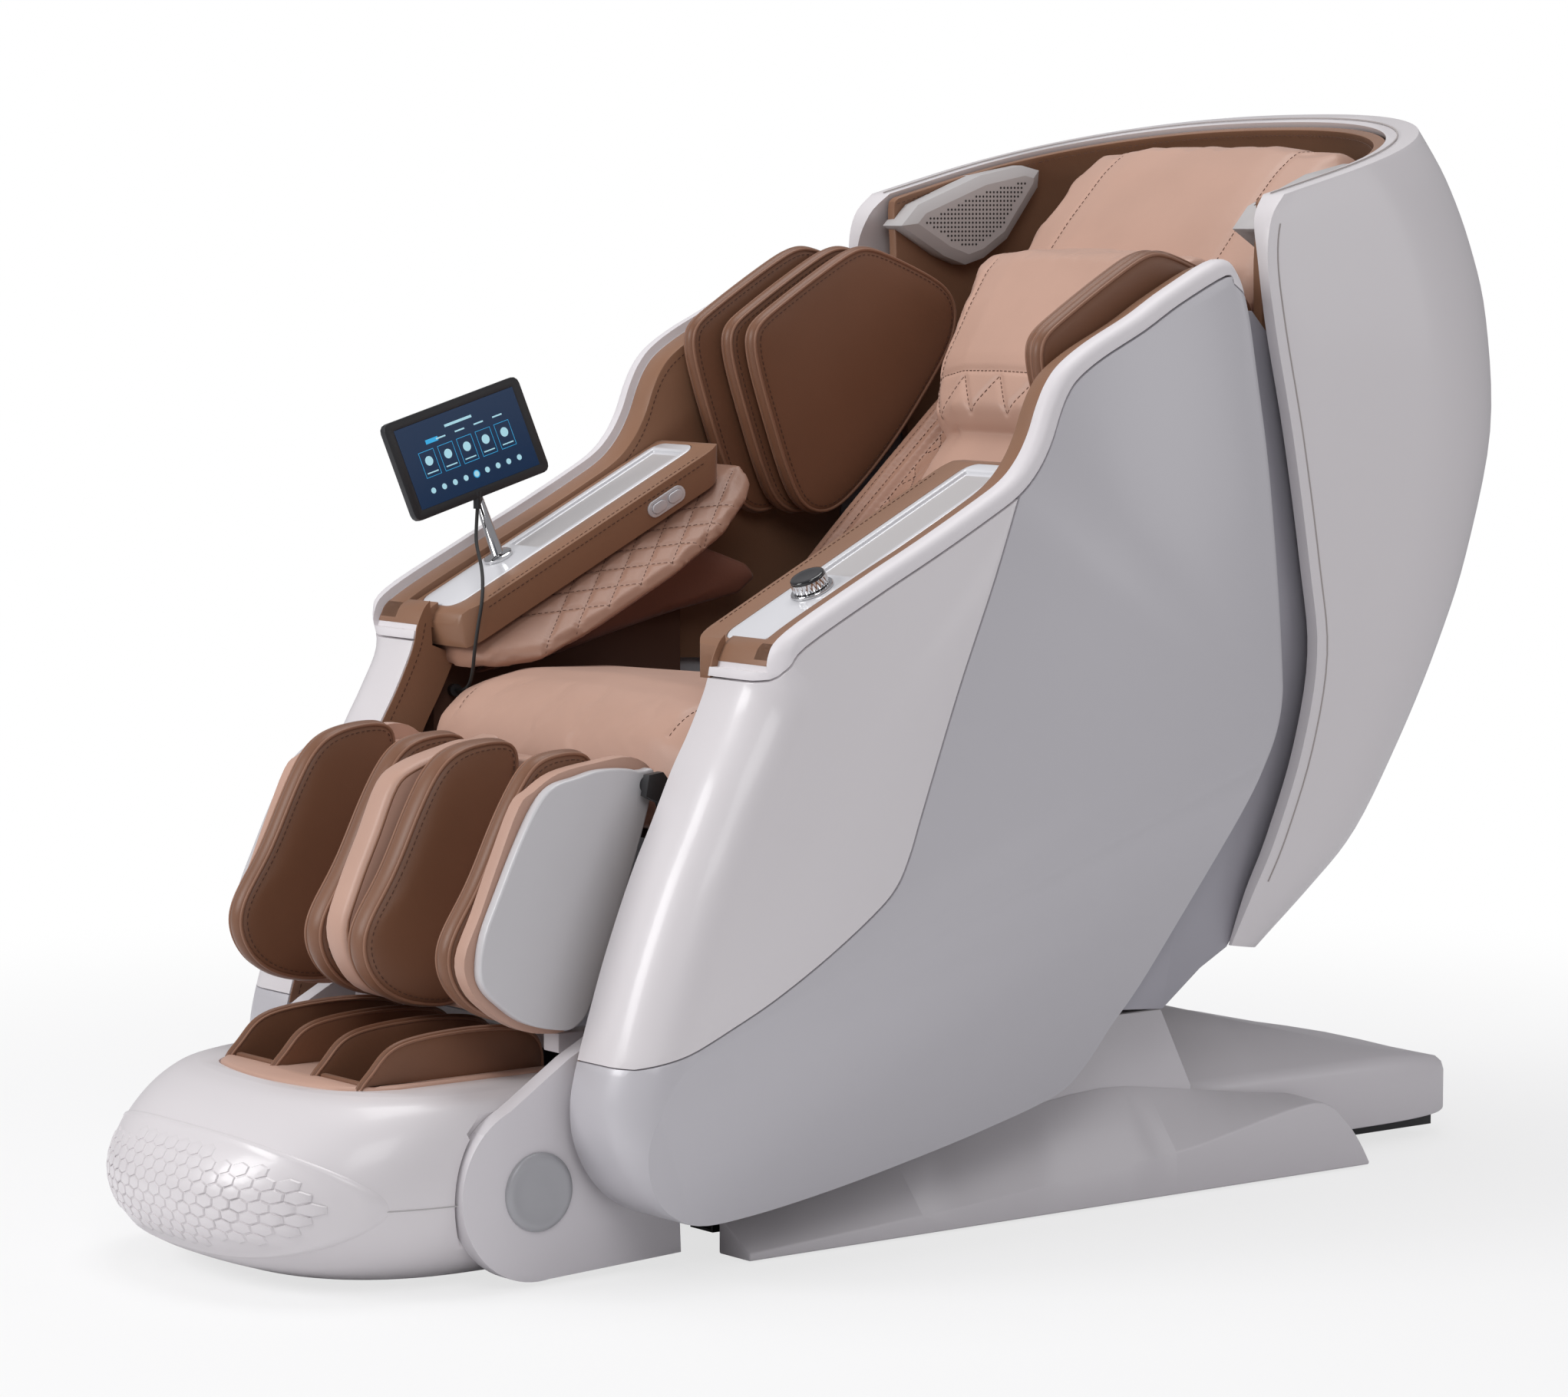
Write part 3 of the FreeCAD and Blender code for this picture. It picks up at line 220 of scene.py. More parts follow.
def leather(name, color, rough=0.42, grain=520.0, strength=0.25, drift=0.07):
    """Smooth upholstery leather: fine cells, faint creases and a soft sheen."""
    material, shader, place = new_material(name, color, rough, drift, 5.0, 0.06)
    tree = material.node_tree
    cells = add_node(tree, "TexVoronoi", Scale=grain)
    cells.feature = "DISTANCE_TO_EDGE"
    wave = add_node(tree, "TexNoise", Scale=38.0, Detail=3.0)
    for pattern in (cells, wave):
        tree.links.new(place.outputs["Object"], pattern.inputs["Vector"])
    edge = add_node(tree, "MapRange", From_Max=0.25)
    tree.links.new(cells.outputs["Distance"], edge.inputs["Value"])
    added = add_node(tree, "Math", "MULTIPLY_ADD")
    added.inputs[1].default_value = 0.22
    tree.links.new(edge.outputs["Result"], added.inputs[0])
    tree.links.new(wave.outputs["Fac"], added.inputs[2])
    add_bump(tree, shader, added.outputs[0], strength, 0.0007)
    shader.inputs["Sheen Weight"].default_value = 0.12
    shader.inputs["Sheen Roughness"].default_value = 0.4
    shader.inputs["Specular IOR Level"].default_value = 0.4
    return material


# %% The finishes
WHITE = moulded("satin_white", (0.745, 0.71, 0.725), 0.36, coat=0.25)
GREY = moulded("satin_grey", (0.57, 0.555, 0.585), 0.38, coat=0.15, metal=0.1)
SILVER = moulded("satin_silver", (0.40, 0.39, 0.43), 0.36, metal=0.35)
WARM = moulded("base_grey", (0.72, 0.69, 0.715), 0.42, coat=0.1)
CAPS = moulded("cap_grey", (0.44, 0.44, 0.46), 0.4, metal=0.2)
PALE = moulded("speaker_grey", (0.50, 0.48, 0.48), 0.42)
TRAY = moulded("tray_white", (0.76, 0.76, 0.79), 0.16, coat=0.6)
DARK_METAL = moulded("black_steel_paint", (0.03, 0.03, 0.032), 0.45)
STEEL = moulded("ground_steel", (0.55, 0.55, 0.56), 0.28, metal=1.0)
CHROME = moulded("chrome_plate", (0.72, 0.72, 0.73), 0.08, metal=1.0)
BLACK = moulded("black_housing", (0.02, 0.021, 0.024), 0.4)
RUBBER = moulded("black_rubber_skin", (0.025, 0.025, 0.025), 0.7)
ROLLER = moulded("roller_cream_skin", (0.6, 0.55, 0.45), 0.5)
KEY = moulded("key_silver_skin", (0.66, 0.65, 0.68), 0.3, metal=0.2)
BROWN = leather("leather_brown", (0.27, 0.138, 0.080))
DARK = leather("leather_dark", (0.205, 0.094, 0.052))
TAN = leather("leather_tan", (0.54, 0.335, 0.258))
QUILT = leather("leather_quilt", (0.37, 0.205, 0.145))
WINE = leather("leather_wine", (0.21, 0.088, 0.060), 0.5)
RIM = leather("leather_white", (0.77, 0.735, 0.755), 0.45, strength=0.12, drift=0.02)
PIPING = leather("leather_piping", (0.275, 0.135, 0.082), 0.45)
PANEL = moulded("dark_panel_skin", (0.11, 0.052, 0.034), 0.6)
THREAD = leather("thread_brown", (0.10, 0.045, 0.028), 0.7, 900.0)
THREAD_PALE = leather("thread_grey", (0.42, 0.38, 0.37), 0.7, 900.0)

# %% Finishes for the frame's own nodes
SLOT_FINISH = {
    "black_steel": DARK_METAL, "plain_steel": STEEL, "black_plastic": BLACK, "black_rubber": RUBBER,
    "warm_grey_plastic": WARM, "cream_plastic": WHITE, "cream_leather": RIM, "grey_plastic": GREY,
    "silver_plastic": SILVER, "brown_leather": BROWN, "dark_leather": DARK, "tan_leather": TAN,
    "quilted_leather": QUILT, "wine_leather": WINE, "dark_panel": PANEL, "white_plastic": TRAY,
    "pale_grey_plastic": PALE, "roller_cream": ROLLER, "screen_glass": BLACK, "chrome": CHROME,
    "key_silver": KEY, "cord_black": RUBBER}
slot_of = {part["node"]: part["material_slot"] for part in frame["record"]["subparts"]}
for name, node in frame["nodes"].items():
    node.data.materials.clear()
    node.data.materials.append(SLOT_FINISH[slot_of[name]])
frame["nodes"]["pivot_caps"].data.materials[0] = CAPS

# %% [markdown]
# ## The tablet's cord
# A thin black lead hangs from the plug under the tablet, falls over the front of the
# arm and goes into a gland in the dark recess below it. It is one smooth curve, guided
# by the same points as the engineer's tube, so its length is the real one.

# %% Cord
CORD_POINTS = [(-318, -512, 757), (-317, -514, 740), (-308, -521, 722), (-284, -534, 709),
               (-252, -552, 699), (-221, -571, 686), (-203, -584, 664), (-200, -592, 636),
               (-203, -595, 608), (-214, -590, 583), (-236, -580, 566), (-262, -570, 558),
               (-287, -563, 556)]
cord_data = bpy.data.curves.new("tablet_lead", "CURVE")
cord_data.dimensions = "3D"
cord_data.bevel_depth = 0.002
cord_data.bevel_resolution = 4
cord_data.resolution_u = 12
spline = cord_data.splines.new("NURBS")
spline.points.add(len(CORD_POINTS) - 1)
for point, place in zip(spline.points, CORD_POINTS):
    point.co = (*at(*place), 1.0)
spline.order_u = 3
spline.use_endpoint_u = True
cord = bpy.data.objects.new("tablet_lead", cord_data)
bpy.context.collection.objects.link(cord)
cord_data.materials.append(RUBBER)
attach(cord, "seat_body")
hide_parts("tablet_cord")

# %% [markdown]
# ## Helpers for shaping
# Most of the chair's pieces are shells that follow a drawn outline, so three helpers do
# most of the work: one rounds an outline, one stretches a skin over a row of outlines,
# and one gives the finished mesh its body, finish and shading. Cuts are Boolean
# modifiers that are applied at once.

# %% Shaping helpers


def smooth(points, steps=6, closed=True):
    """The outline with curved runs (Catmull-Rom) through its points."""
    count = len(points)
    result = []
    spans = count if closed else count - 1
    for i in range(spans):
        p0 = points[(i - 1) % count] if closed or i > 0 else points[0]
        p1, p2 = points[i], points[(i + 1) % count]
        p3 = points[(i + 2) % count] if closed or i + 2 < count else points[-1]
        for k in range(steps):
            t = k / steps
            result.append(tuple(0.5 * (2 * b + (c - a) * t + (2 * a - 5 * b + 4 * c - d) * t * t
                                       + (3 * b - a - 3 * c + d) * t ** 3)
                                for a, b, c, d in zip(p0, p1, p2, p3)))
    if not closed:
        result.append(tuple(points[-1]))
    return result


def inset(outline, depth):
    """The (y, z) outline drawn in by depth, one value or one per point."""
    n = len(outline)
    depths = depth if isinstance(depth, list) else [depth] * n
    area = sum(outline[i - 1][0] * outline[i][1] - outline[i][0] * outline[i - 1][1] for i in range(n))
    turn = 1.0 if area > 0 else -1.0
    result = []
    for i, (y, z) in enumerate(outline):
        (ya, za), (yc, zc) = outline[i - 1], outline[(i + 1) % n]
        way = Vector((yc - ya, zc - za)).normalized()
        result.append((y - way.y * turn * depths[i], z + way.x * turn * depths[i]))
    return result


def finish(piece, body, material, nodes_hidden=(), angle=35):
    """Material, shading, body and the frame node that the piece stands for."""
    piece.data.materials.clear()
    piece.data.materials.append(material)
    activate(piece)
    bpy.ops.object.shade_smooth_by_angle(angle=math.radians(angle))
    deselect()
    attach(piece, body)
    if nodes_hidden:
        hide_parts(*nodes_hidden)
    return piece


def raw_piece(name, points, faces):
    mesh = bpy.data.meshes.new(name)
    mesh.from_pydata([at(*p) for p in points], [], faces)
    piece = bpy.data.objects.new(name, mesh)
    bpy.context.collection.objects.link(piece)
    activate(piece)
    bpy.ops.object.mode_set(mode="EDIT")
    bpy.ops.mesh.select_all(action="SELECT")
    bpy.ops.mesh.remove_doubles(threshold=WELD)
    bpy.ops.mesh.normals_make_consistent(inside=False)
    bpy.ops.object.mode_set(mode="OBJECT")
    deselect()
    return piece


def bands(count, levels, base=0):
    """The faces between rings of count points, from the point numbered base."""
    return [(base + r * count + i, base + r * count + (i + 1) % count,
             base + (r + 1) * count + (i + 1) % count, base + (r + 1) * count + i)
            for r in range(levels - 1) for i in range(count)]


def skin(name, rings, caps=True):
    """A closed skin over a row of rings of 3-D points."""
    n = len(rings[0])
    faces = bands(n, len(rings))
    if caps:
        faces += [tuple(range(n)), tuple(range((len(rings) - 1) * n, len(rings) * n))]
    return raw_piece(name, [p for ring in rings for p in ring], faces)


def plate(name, outline, x0, x1):
    """A (y, z) outline carried from x0 to x1."""
    return skin(name, [[(x, y, z) for y, z in outline] for x in (x0, x1)])


def block(name, plan, z0, z1):
    """An (x, y) plan carried from z0 to z1."""
    return skin(name, [[(x, y, z) for x, y in plan] for z in (z0, z1)])


def circle(u, v, r, sides=72):
    return [(u + r * math.cos(2 * math.pi * k / sides), v + r * math.sin(2 * math.pi * k / sides))
            for k in range(sides)]


def apply_modifiers(piece):
    activate(piece)
    for modifier in list(piece.modifiers):
        bpy.ops.object.modifier_apply(modifier=modifier.name)
    deselect()


def boolean(piece, tool, operation="DIFFERENCE"):
    """Cuts or joins at once, and removes the tool."""
    cut = piece.modifiers.new("cut", "BOOLEAN")
    cut.operation = operation
    cut.solver = "EXACT"
    cut.object = tool
    apply_modifiers(piece)
    bpy.data.objects.remove(tool)


def bevelled(piece, width, segments=2, angle=35):
    bevel = piece.modifiers.new("bevel", "BEVEL")
    bevel.width = width * MM
    bevel.segments = segments
    bevel.limit_method = "ANGLE"
    bevel.angle_limit = math.radians(angle)
    bevel.harden_normals = False
    apply_modifiers(piece)
    return piece


def copy_of(piece, name):
    twin = piece.copy()
    twin.data = piece.data.copy()
    twin.name = name
    bpy.context.collection.objects.link(twin)
    return twin


def mirrored(piece, name):
    """The same piece on the chair's other side, with its own mesh."""
    twin = copy_of(piece, name)
    for vertex in twin.data.vertices:
        vertex.co.x = -vertex.co.x
    twin.data.flip_normals()
    return twin


def joined(pieces, name):
    deselect()
    for piece in pieces:
        piece.select_set(True)
    bpy.context.view_layer.objects.active = pieces[0]
    bpy.ops.object.join()
    pieces[0].name = name
    deselect()
    return pieces[0]


def both(name, *pieces):
    """The pieces and their mirror images as one piece."""
    return joined([*pieces, *(mirrored(piece, "twin") for piece in pieces)], name)


def tube(name, points, radius, closed=False, sides=8):
    """A round cord of leather or thread along 3-D points, as a mesh."""
    spots = [Vector(p) for p in points]
    rows, count, side = [], len(spots), None
    for i, here in enumerate(spots):
        before = spots[(i - 1) % count] if closed or i > 0 else here
        after = spots[(i + 1) % count] if closed or i < count - 1 else here
        way = (after - before).normalized()
        if side is None:
            side = way.orthogonal()
        side = (side - way * side.dot(way)).normalized()
        up = way.cross(side)
        rows.append([here + (side * math.cos(2 * math.pi * k / sides)
                             + up * math.sin(2 * math.pi * k / sides)) * radius for k in range(sides)])
    if closed:
        rows.append(rows[0])
    return skin(name, rows, caps=not closed)


def stitches(name, points, length=4.5, gap=2.5, radius=0.6):
    """A row of short threads laid along 3-D points."""
    spots = [Vector(p) for p in points]
    rows, faces, segments, travelled = [], [], [], 0.0
    for a, b in zip(spots, spots[1:]):
        run = (b - a).length
        if run < 1e-6:
            continue
        t = 0.0
        while t < run:
            phase = (travelled + t) % (length + gap)
            if phase < length:
                step = min(length - phase, run - t)
                segments.append((a.lerp(b, t / run), a.lerp(b, (t + step) / run)))
            else:
                step = min(length + gap - phase, run - t)
            t += max(step, 0.01)
        travelled += run
    for a, b in segments:
        if (b - a).length < 1.0:
            continue
        way = (b - a).normalized()
        side = way.orthogonal().normalized()
        up = way.cross(side)
        base = len(rows)
        ends = radius * 0.4
        for spot, r in ((a, ends), (a.lerp(b, 0.25), radius), (a.lerp(b, 0.75), radius), (b, ends)):
            rows += [spot + side * r, spot + up * r, spot - side * r, spot - up * r]
        faces += bands(4, 4, base)
        faces += [(base, base + 3, base + 2, base + 1), (base + 12, base + 13, base + 14, base + 15)]
    return raw_piece(name, rows, faces)


def sewn(name, points, body, slot, *sizes):
    """A finished row of brown thread."""
    finish(stitches(name, points, *sizes), body, THREAD, ())


# %% [markdown]
# ## The side wings
# Each wing is one deep moulded form: a flat outer face, a generous radius along the
# front edge and a tighter one elsewhere. Seen from outside it is three parts: a grey
# side shell, a white front panel and a white leather rim that runs along the top. The
# whole form is lofted once, then the three parts are cut out of it with a fine gap.

# %% Wing outline
HALF_WIDTH, WING_INNER, POST_INNER, POST_DEPTH = 388.0, 345.0, 275.0, 62.0
WING_FRONT = [(-632, 607), (-653, 563), (-676, 523), (-702, 470), (-728, 418),
              (-759, 343), (-781, 280), (-798, 225), (-805, 188)]
WING_CHIN = [(-801, 150), (-782, 112), (-752, 83), (-705, 64)]
WING_BOTTOM = [(-633, 66), (-531, 79), (-427, 97), (-323, 118), (-217, 145), (-178, 172)]
WING_REAR = [(-144, 214), (-107, 256), (-56, 326), (21, 435), (57, 492), (73, 527),
             (80, 562), (79, 599), (71, 694), (56, 817), (38, 916), (24, 985)]
WING_SHOULDER = [(10, 1027), (-17, 1042)]
WING_TOP = [(-88, 1011), (-139, 983), (-196, 956), (-232, 934), (-251, 914), (-264, 890),
            (-276, 860), (-292, 834), (-315, 812), (-356, 789), (-425, 754), (-500, 718),
            (-598, 668), (-622, 642)]
SEAM = [(-299, 815), (-338, 712), (-387, 597), (-435, 473), (-452, 428), (-470, 396),
        (-500, 370), (-560, 331), (-627, 294), (-685, 268), (-735, 248), (-785, 234)]
WING = WING_FRONT + WING_CHIN + WING_BOTTOM + WING_REAR + WING_SHOULDER + WING_TOP
EDGE = [62.0] * 9 + [52.0, 44.0, 36.0, 30.0] + [24.0] * 6 + [10.0] * 12 + [14.0] * 15 + [30.0]
STEPS = 5
wing_line = smooth(WING, STEPS)
edge_line = [r[0] for r in smooth([(e, 0) for e in EDGE], STEPS)]


def drawn_in(depth, radius):
    if depth >= radius:
        return 0.0
    return radius - math.sqrt(max(0.0, radius ** 2 - (radius - depth) ** 2))


def wing_ring(x):
    depth = HALF_WIDTH - x
    return [(x, y, z) for y, z in inset(wing_line, [drawn_in(depth, r) for r in edge_line])]


levels = [POST_INNER, 326, 332, 338, 344, 350, 356, 361, 366, 370, 374, 377, 380, 382.5, 384.5, 386, 387.2, 388]
wing = skin("wing", [wing_ring(x) for x in levels])

# %% [markdown]
# The wing is hollow: behind its front post there is a bay for the seat's cushions. The
# lower half of the outer face tucks in below a crease that runs up to the rear.

# %% Cut the bay and the crease
room = ([(-605, 1300), (-605, 575)] + [(y + POST_DEPTH, z) for y, z in WING_FRONT[1:]]
        + [(-730, 120), (-690, 20), (300, 20), (300, 1300)])
boolean(wing, plate("bay", room, POST_INNER - 5, WING_INNER))
(ya, za), (yb, zb) = (-883, 186), (48, 497)
run = math.hypot(yb - ya, zb - za)
dy, dz = (yb - ya) / run, (zb - za) / run
REACH = 420.0              # how far below the crease the cut goes, at nine degrees
tuck = REACH * math.tan(math.radians(9.0))


def crease_point(along, down, x):
    return (x, ya + dy * along + dz * down, za + dz * along - dy * down)


section = ((-0.5, HALF_WIDTH + 0.08), (REACH, HALF_WIDTH - tuck), (REACH, HALF_WIDTH + 40),
           (-0.5, HALF_WIDTH + 40))
crease_tool = skin("crease_tool", [[crease_point(a, down, x) for down, x in section] for a in (-80, run + 120)])

# %% Cut the three parts
CUT = (200, 400)           # the cutting plates reach from here to there in x
rim_edge = WING_SHOULDER + WING_TOP
band = inset(WING, 17.0)[-len(rim_edge):]
rim_low = [(-700, 625), (-627, 618)] + band[::-1]
rim_low_smooth = smooth(rim_low, 4, closed=False)
rim_region = [(40, 990), (40, 1120), (-320, 1120), (-700, 760)] + rim_low_smooth
rim_grown = [(40, 985), (40, 1120), (-320, 1120), (-720, 760)] + [
    (y + 1.2, z - 2.4) for y, z in rim_low_smooth]
seam_smooth = smooth(SEAM, 5, closed=False)
front_region = seam_smooth + [(-900, 232), (-900, 900), (-299, 900)]
front_grown = [(y + 2.2, z - 1.2) for y, z in seam_smooth] + [(-900, 229), (-900, 900), (-296, 900)]

rim_part = copy_of(wing, "wing_rim")
boolean(rim_part, plate("tool", rim_region, *CUT), "INTERSECT")
front_part = copy_of(wing, "wing_front")
boolean(front_part, plate("tool", rim_grown, *CUT))
side_part = copy_of(front_part, "wing_side")
boolean(front_part, plate("tool", front_region, *CUT), "INTERSECT")
boolean(side_part, plate("tool", front_grown, *CUT))
boolean(side_part, crease_tool)
bpy.data.objects.remove(wing)
hollow = plate("hollow", [(-900, 627), (-900, 1200), (200, 1200), (200, 627)], 200, 366)
boolean(hollow, plate("tool", inset(wing_line, 10.0), 190, 380))
boolean(rim_part, hollow)
for part, width in ((rim_part, 2.0), (front_part, 0.9), (side_part, 0.9)):
    bevelled(part, width, 2, 50)
sides = [(rim_part, RIM, "arm_rims", "cream_leather"), (front_part, WHITE, "front_panels", "cream_plastic"),
         (side_part, GREY, "side_shells", "grey_plastic")]
for part, material, node, slot in sides:
    finish(both(part.name, part), "seat_body", material, (node,), 28)

# %% [markdown]
# ## The hood
# The rear hood is a tall bowl, open at the front, that carries the head and back. Its
# plan is a U that is squarer than an ellipse, and it grows wider and then narrower with
# height. The levels are the engineer's, with smooth runs between them.

# %% Hood shell
HOOD = [(286, 268, 36, 50, 150, 350), (345, 338, 56, 90, 262, 364), (404, 396, 84, 140, 335, 369),
        (500, 494, 122, 190, 414, 370), (604, 600, 143, 240, 480, 370),
        (705, 700, 130, 270, 532, 370), (845, 838, 104, 290, 577, 370),
        (965, 970, 76, 280, 568, 370), (1040, 1060, 64, 250, 542, 369),
        (1086, 1140, 71, 210, 506, 367), (1112, 1206, 94, 170, 466, 362)]
DRAW = [4.5, 14.0] + [16.0] * 7 + [28.0, 34.0]
QUARTER = 28
hood_levels = smooth([level + (draw,) for level, draw in zip(HOOD, DRAW)], 5, closed=False)


def hood_path(level, draw, z_off=0.0, y_front=None):
    zf, zb, yf, ys, yb, half = level[:6]
    slope = (zb - zf) / (yb - yf)
    y0 = yf if y_front is None else y_front
    half, back = half - draw, yb - draw * 1.1
    line = [(half, y0 + (ys - y0) * k / 4) for k in range(4)]
    for k in range(QUARTER + 1):
        a = math.radians(90.0 * k / QUARTER)
        c = math.cos(a) ** (2 / 2.3) if k < QUARTER else 0.0
        line.append((half * c, ys + (back - ys) * math.sin(a) ** (2 / 2.3)))
    line += [(-x, y) for x, y in reversed(line[:-1])]
    return [(x, y, zf + slope * (y - yf) + z_off) for x, y in line]


def hood_band(level, outer, inner, z_off=0.0, y_front=None):
    return hood_path(level, outer, z_off, y_front) + hood_path(level, inner, z_off, y_front)[::-1]


hood = skin("hood", [hood_band(level, 0, level[6]) for level in hood_levels])
notch = plate("notch", [(-100, 200), (300, 200), (300, 345), (-100, 345)], -256, 256)
boolean(hood, notch)
bevelled(hood, 5.0, 3, 50)
finish(hood, "backrest", WHITE, ("hood_shell",), 40)

# %% [markdown]
# A fine pale seam runs over the hood's top and down its two front edges. The upper part
# of the hood has a brown lining inside, with one row of stitches near its top.

# %% Hood rim
top_level = hood_levels[-1]
SEAM_RADIUS, EDGE_SETBACK = 0.9, 15
finish(tube("hood_rim_seam", hood_path(top_level, 22, 1.4), SEAM_RADIUS), "backrest", THREAD_PALE, ())
for sign in (1, -1):
    edge = [(sign * (half + 0.2), yf + EDGE_SETBACK, zf + EDGE_SETBACK * (zb - zf) / (yb - yf))
            for zf, zb, yf, ys, yb, half, draw in hood_levels[6:-6]]
    finish(tube("hood_edge_seam_%d" % (sign + 1), edge, SEAM_RADIUS), "backrest", THREAD_PALE, ())

# %% Hood lining
LINE_DRAW = [42, 42, 42, 42, 36, 34.3]
LINE_THICK, LINE_FRONT = 13, 93
lining_levels = smooth([level + (draw,) for level, draw in zip(HOOD[5:], LINE_DRAW)], 5, closed=False)
lining_rings = []
for i, level in enumerate(lining_levels):
    sink = -5.5 * min(1, max(0, (i - 20) / 5))     # the last levels stay below the rim
    lining_rings.append(hood_band(level, level[6], level[6] + LINE_THICK, sink, max(level[2] + 5, LINE_FRONT)))
lining = bevelled(skin("hood_lining_leather", lining_rings), 4.0, 3, 50)
finish(lining, "backrest", BROWN, ("hood_lining",), 40)
sewn("hood_lining_stitch", [(x, y, z - 12) for x, y, z in hood_path(top_level, LINE_DRAW[-1] + 14)], "backrest",
     "brown_leather", 5.0, 3.0, 0.55)

# %% [markdown]
# ## Soft pieces
# Every cushion starts from the engineer's plain solid: its skin is rebuilt with small even
# faces, smoothed, and blown up a little with a cloth simulation, so that it is tight in
# the middle and drawn in at its edges. Piping and stitches are laid on afterwards.

# %% Cushion helper


def frame_copy(node, name, flat=None):
    """A free copy of a frame node, welded and, if flat is given, cleaned up to that angle."""
    source = frame["nodes"][node]
    piece = source.copy()
    piece.data = source.data.copy()
    piece.name = name
    for collection in list(piece.users_collection):
        collection.objects.unlink(piece)
    bpy.context.collection.objects.link(piece)
    piece.parent = None
    piece.hide_render = False
    piece.hide_viewport = False
    for key in list(piece.keys()):
        del piece[key]
    activate(piece)
    bpy.ops.object.mode_set(mode="EDIT")
    bpy.ops.mesh.select_all(action="SELECT")
    bpy.ops.mesh.remove_doubles(threshold=FRAME_WELD)
    if flat:
        bpy.ops.mesh.dissolve_limited(angle_limit=math.radians(flat))
    bpy.ops.object.mode_set(mode="OBJECT")
    return piece


def inflate(pad, cap, pressure=4.0):
    """Blows the pad up with cloth under pressure and limits how far it may go."""
    cloth = pad.modifiers.new("cloth", "CLOTH")
    cloth.settings.use_pressure = True
    cloth.settings.uniform_pressure_force = pressure
    cloth.settings.effector_weights.gravity = 0.0
    cloth.settings.tension_stiffness = 15
    cloth.settings.compression_stiffness = 15
    cloth.settings.bending_stiffness = 0.5
    cloth.collision_settings.use_self_collision = False
    cloth.point_cache.frame_start = 1
    cloth.point_cache.frame_end = 20
    scene = bpy.context.scene
    for number in range(1, 13):
        scene.frame_set(number)
    graph = bpy.context.evaluated_depsgraph_get()
    blown = pad.evaluated_get(graph).data
    moved = [v.co.copy() for v in blown.vertices]
    pad.modifiers.remove(cloth)
    scene.frame_set(1)
    for vertex, new in zip(pad.data.vertices, moved):
        step = new - vertex.co
        if step.length > cap * MM:
            step = step.normalized() * cap * MM
        vertex.co += step


def soft(name, node, body, material, cap, rounds=12, voxel=5.0):
    """A leather pad blown up from the plain solid of a frame node."""
    pad = frame_copy(node, name)
    pad.data.remesh_voxel_size = voxel * MM
    bpy.ops.object.voxel_remesh()
    relax = pad.modifiers.new("relax", "SMOOTH")
    relax.factor = 0.5
    relax.iterations = rounds
    apply_modifiers(pad)
    inflate(pad, cap)
    divide = pad.modifiers.new("divide", "SUBSURF")
    divide.levels = 1
    divide.render_levels = 1
    apply_modifiers(pad)
    finish(pad, body, material, (node,), 80)
    return pad


# %% [markdown]
# The shoulder cushions are stacks of three leaves on each side, and the calf cushions are
# four more such leaves. A leaf is lofted from its outline: full in the middle, drawn in at
# the rim, with a raised piping around each face and a row of stitches just inside it.

# %% Leaf helper


def toward(outline, share):
    """The outline shrunk toward its middle."""
    cy = sum(y for y, z in outline) / len(outline)
    cz = sum(z for y, z in outline) / len(outline)
    return [(cy + (y - cy) * share, cz + (z - cz) * share) for y, z in outline]


def rounded(outline, passes=25, spacing=5.0):
    """The outline resampled evenly, with its corners relaxed into wide curves."""
    line = smooth(outline, 8)
    length = sum(math.dist(a, b) for a, b in zip(line, line[1:] + line[:1]))
    count = int(length / spacing)
    even, index, left = [], 0, 0.0
    for k in range(count):
        goal = length * k / count
        while True:
            a, b = line[index % len(line)], line[(index + 1) % len(line)]
            run = math.dist(a, b)
            if left + run >= goal or index > 2 * len(line):
                break
            left += run
            index += 1
        t = (goal - left) / run if run else 0.0
        even.append((a[0] + (b[0] - a[0]) * t, a[1] + (b[1] - a[1]) * t))
    for _ in range(passes):
        even = [tuple(0.5 * q + 0.25 * (p + r) for p, q, r in zip(even[i - 1], even[i], even[(i + 1) % count]))
                for i in range(count)]
    return even


LEAF_PROFILE = [(-1.0, "s", 0.10), (-1.0, "s", 0.34), (-0.97, "s", 0.56), (-0.90, "s", 0.74), (-0.82, "i", 14),
                (-0.74, "i", 8.5), (-0.60, "i", 4.5), (-0.40, "i", 1.8), (-0.2, "i", 0.5), (0.0, "i", 0.0)]


def leaf(name, outline, x0, x1, body, node, inner_faces, sign=1, passes=25, pipe=2.1):
    """One piped air cushion from x0 to x1, with threads on the inner faces."""
    line = rounded(outline, passes)
    mid, half = (x0 + x1) / 2, (x1 - x0) / 2
    profile = LEAF_PROFILE + [(-t, kind, value) for t, kind, value in LEAF_PROFILE[-2::-1]]
    rings = []
    for t, kind, value in profile:
        ring = toward(line, value) if kind == "s" else inset(line, value)
        rings.append([(sign * (mid + half * t), y, z) for y, z in ring])
    pad = skin(name, rings)
    finish(pad, body, DARK, (node,), 80)
    for face in (-1, 1):
        rim = [(sign * (mid + face * half * 0.62), y, z) for y, z in inset(line, 4.2)]
        piping = tube("%s_piping%d" % (name, face + 1), rim, pipe, closed=True)
        finish(piping, body, PIPING, (), 80)
    inner = inset(line, 10.0)
    for face in inner_faces:
        sewn("%s_thread%d" % (name, face + 1),
             [(sign * (mid + face * half * 0.80), y, z) for y, z in inner + inner[:1]], body, slot_of[node])


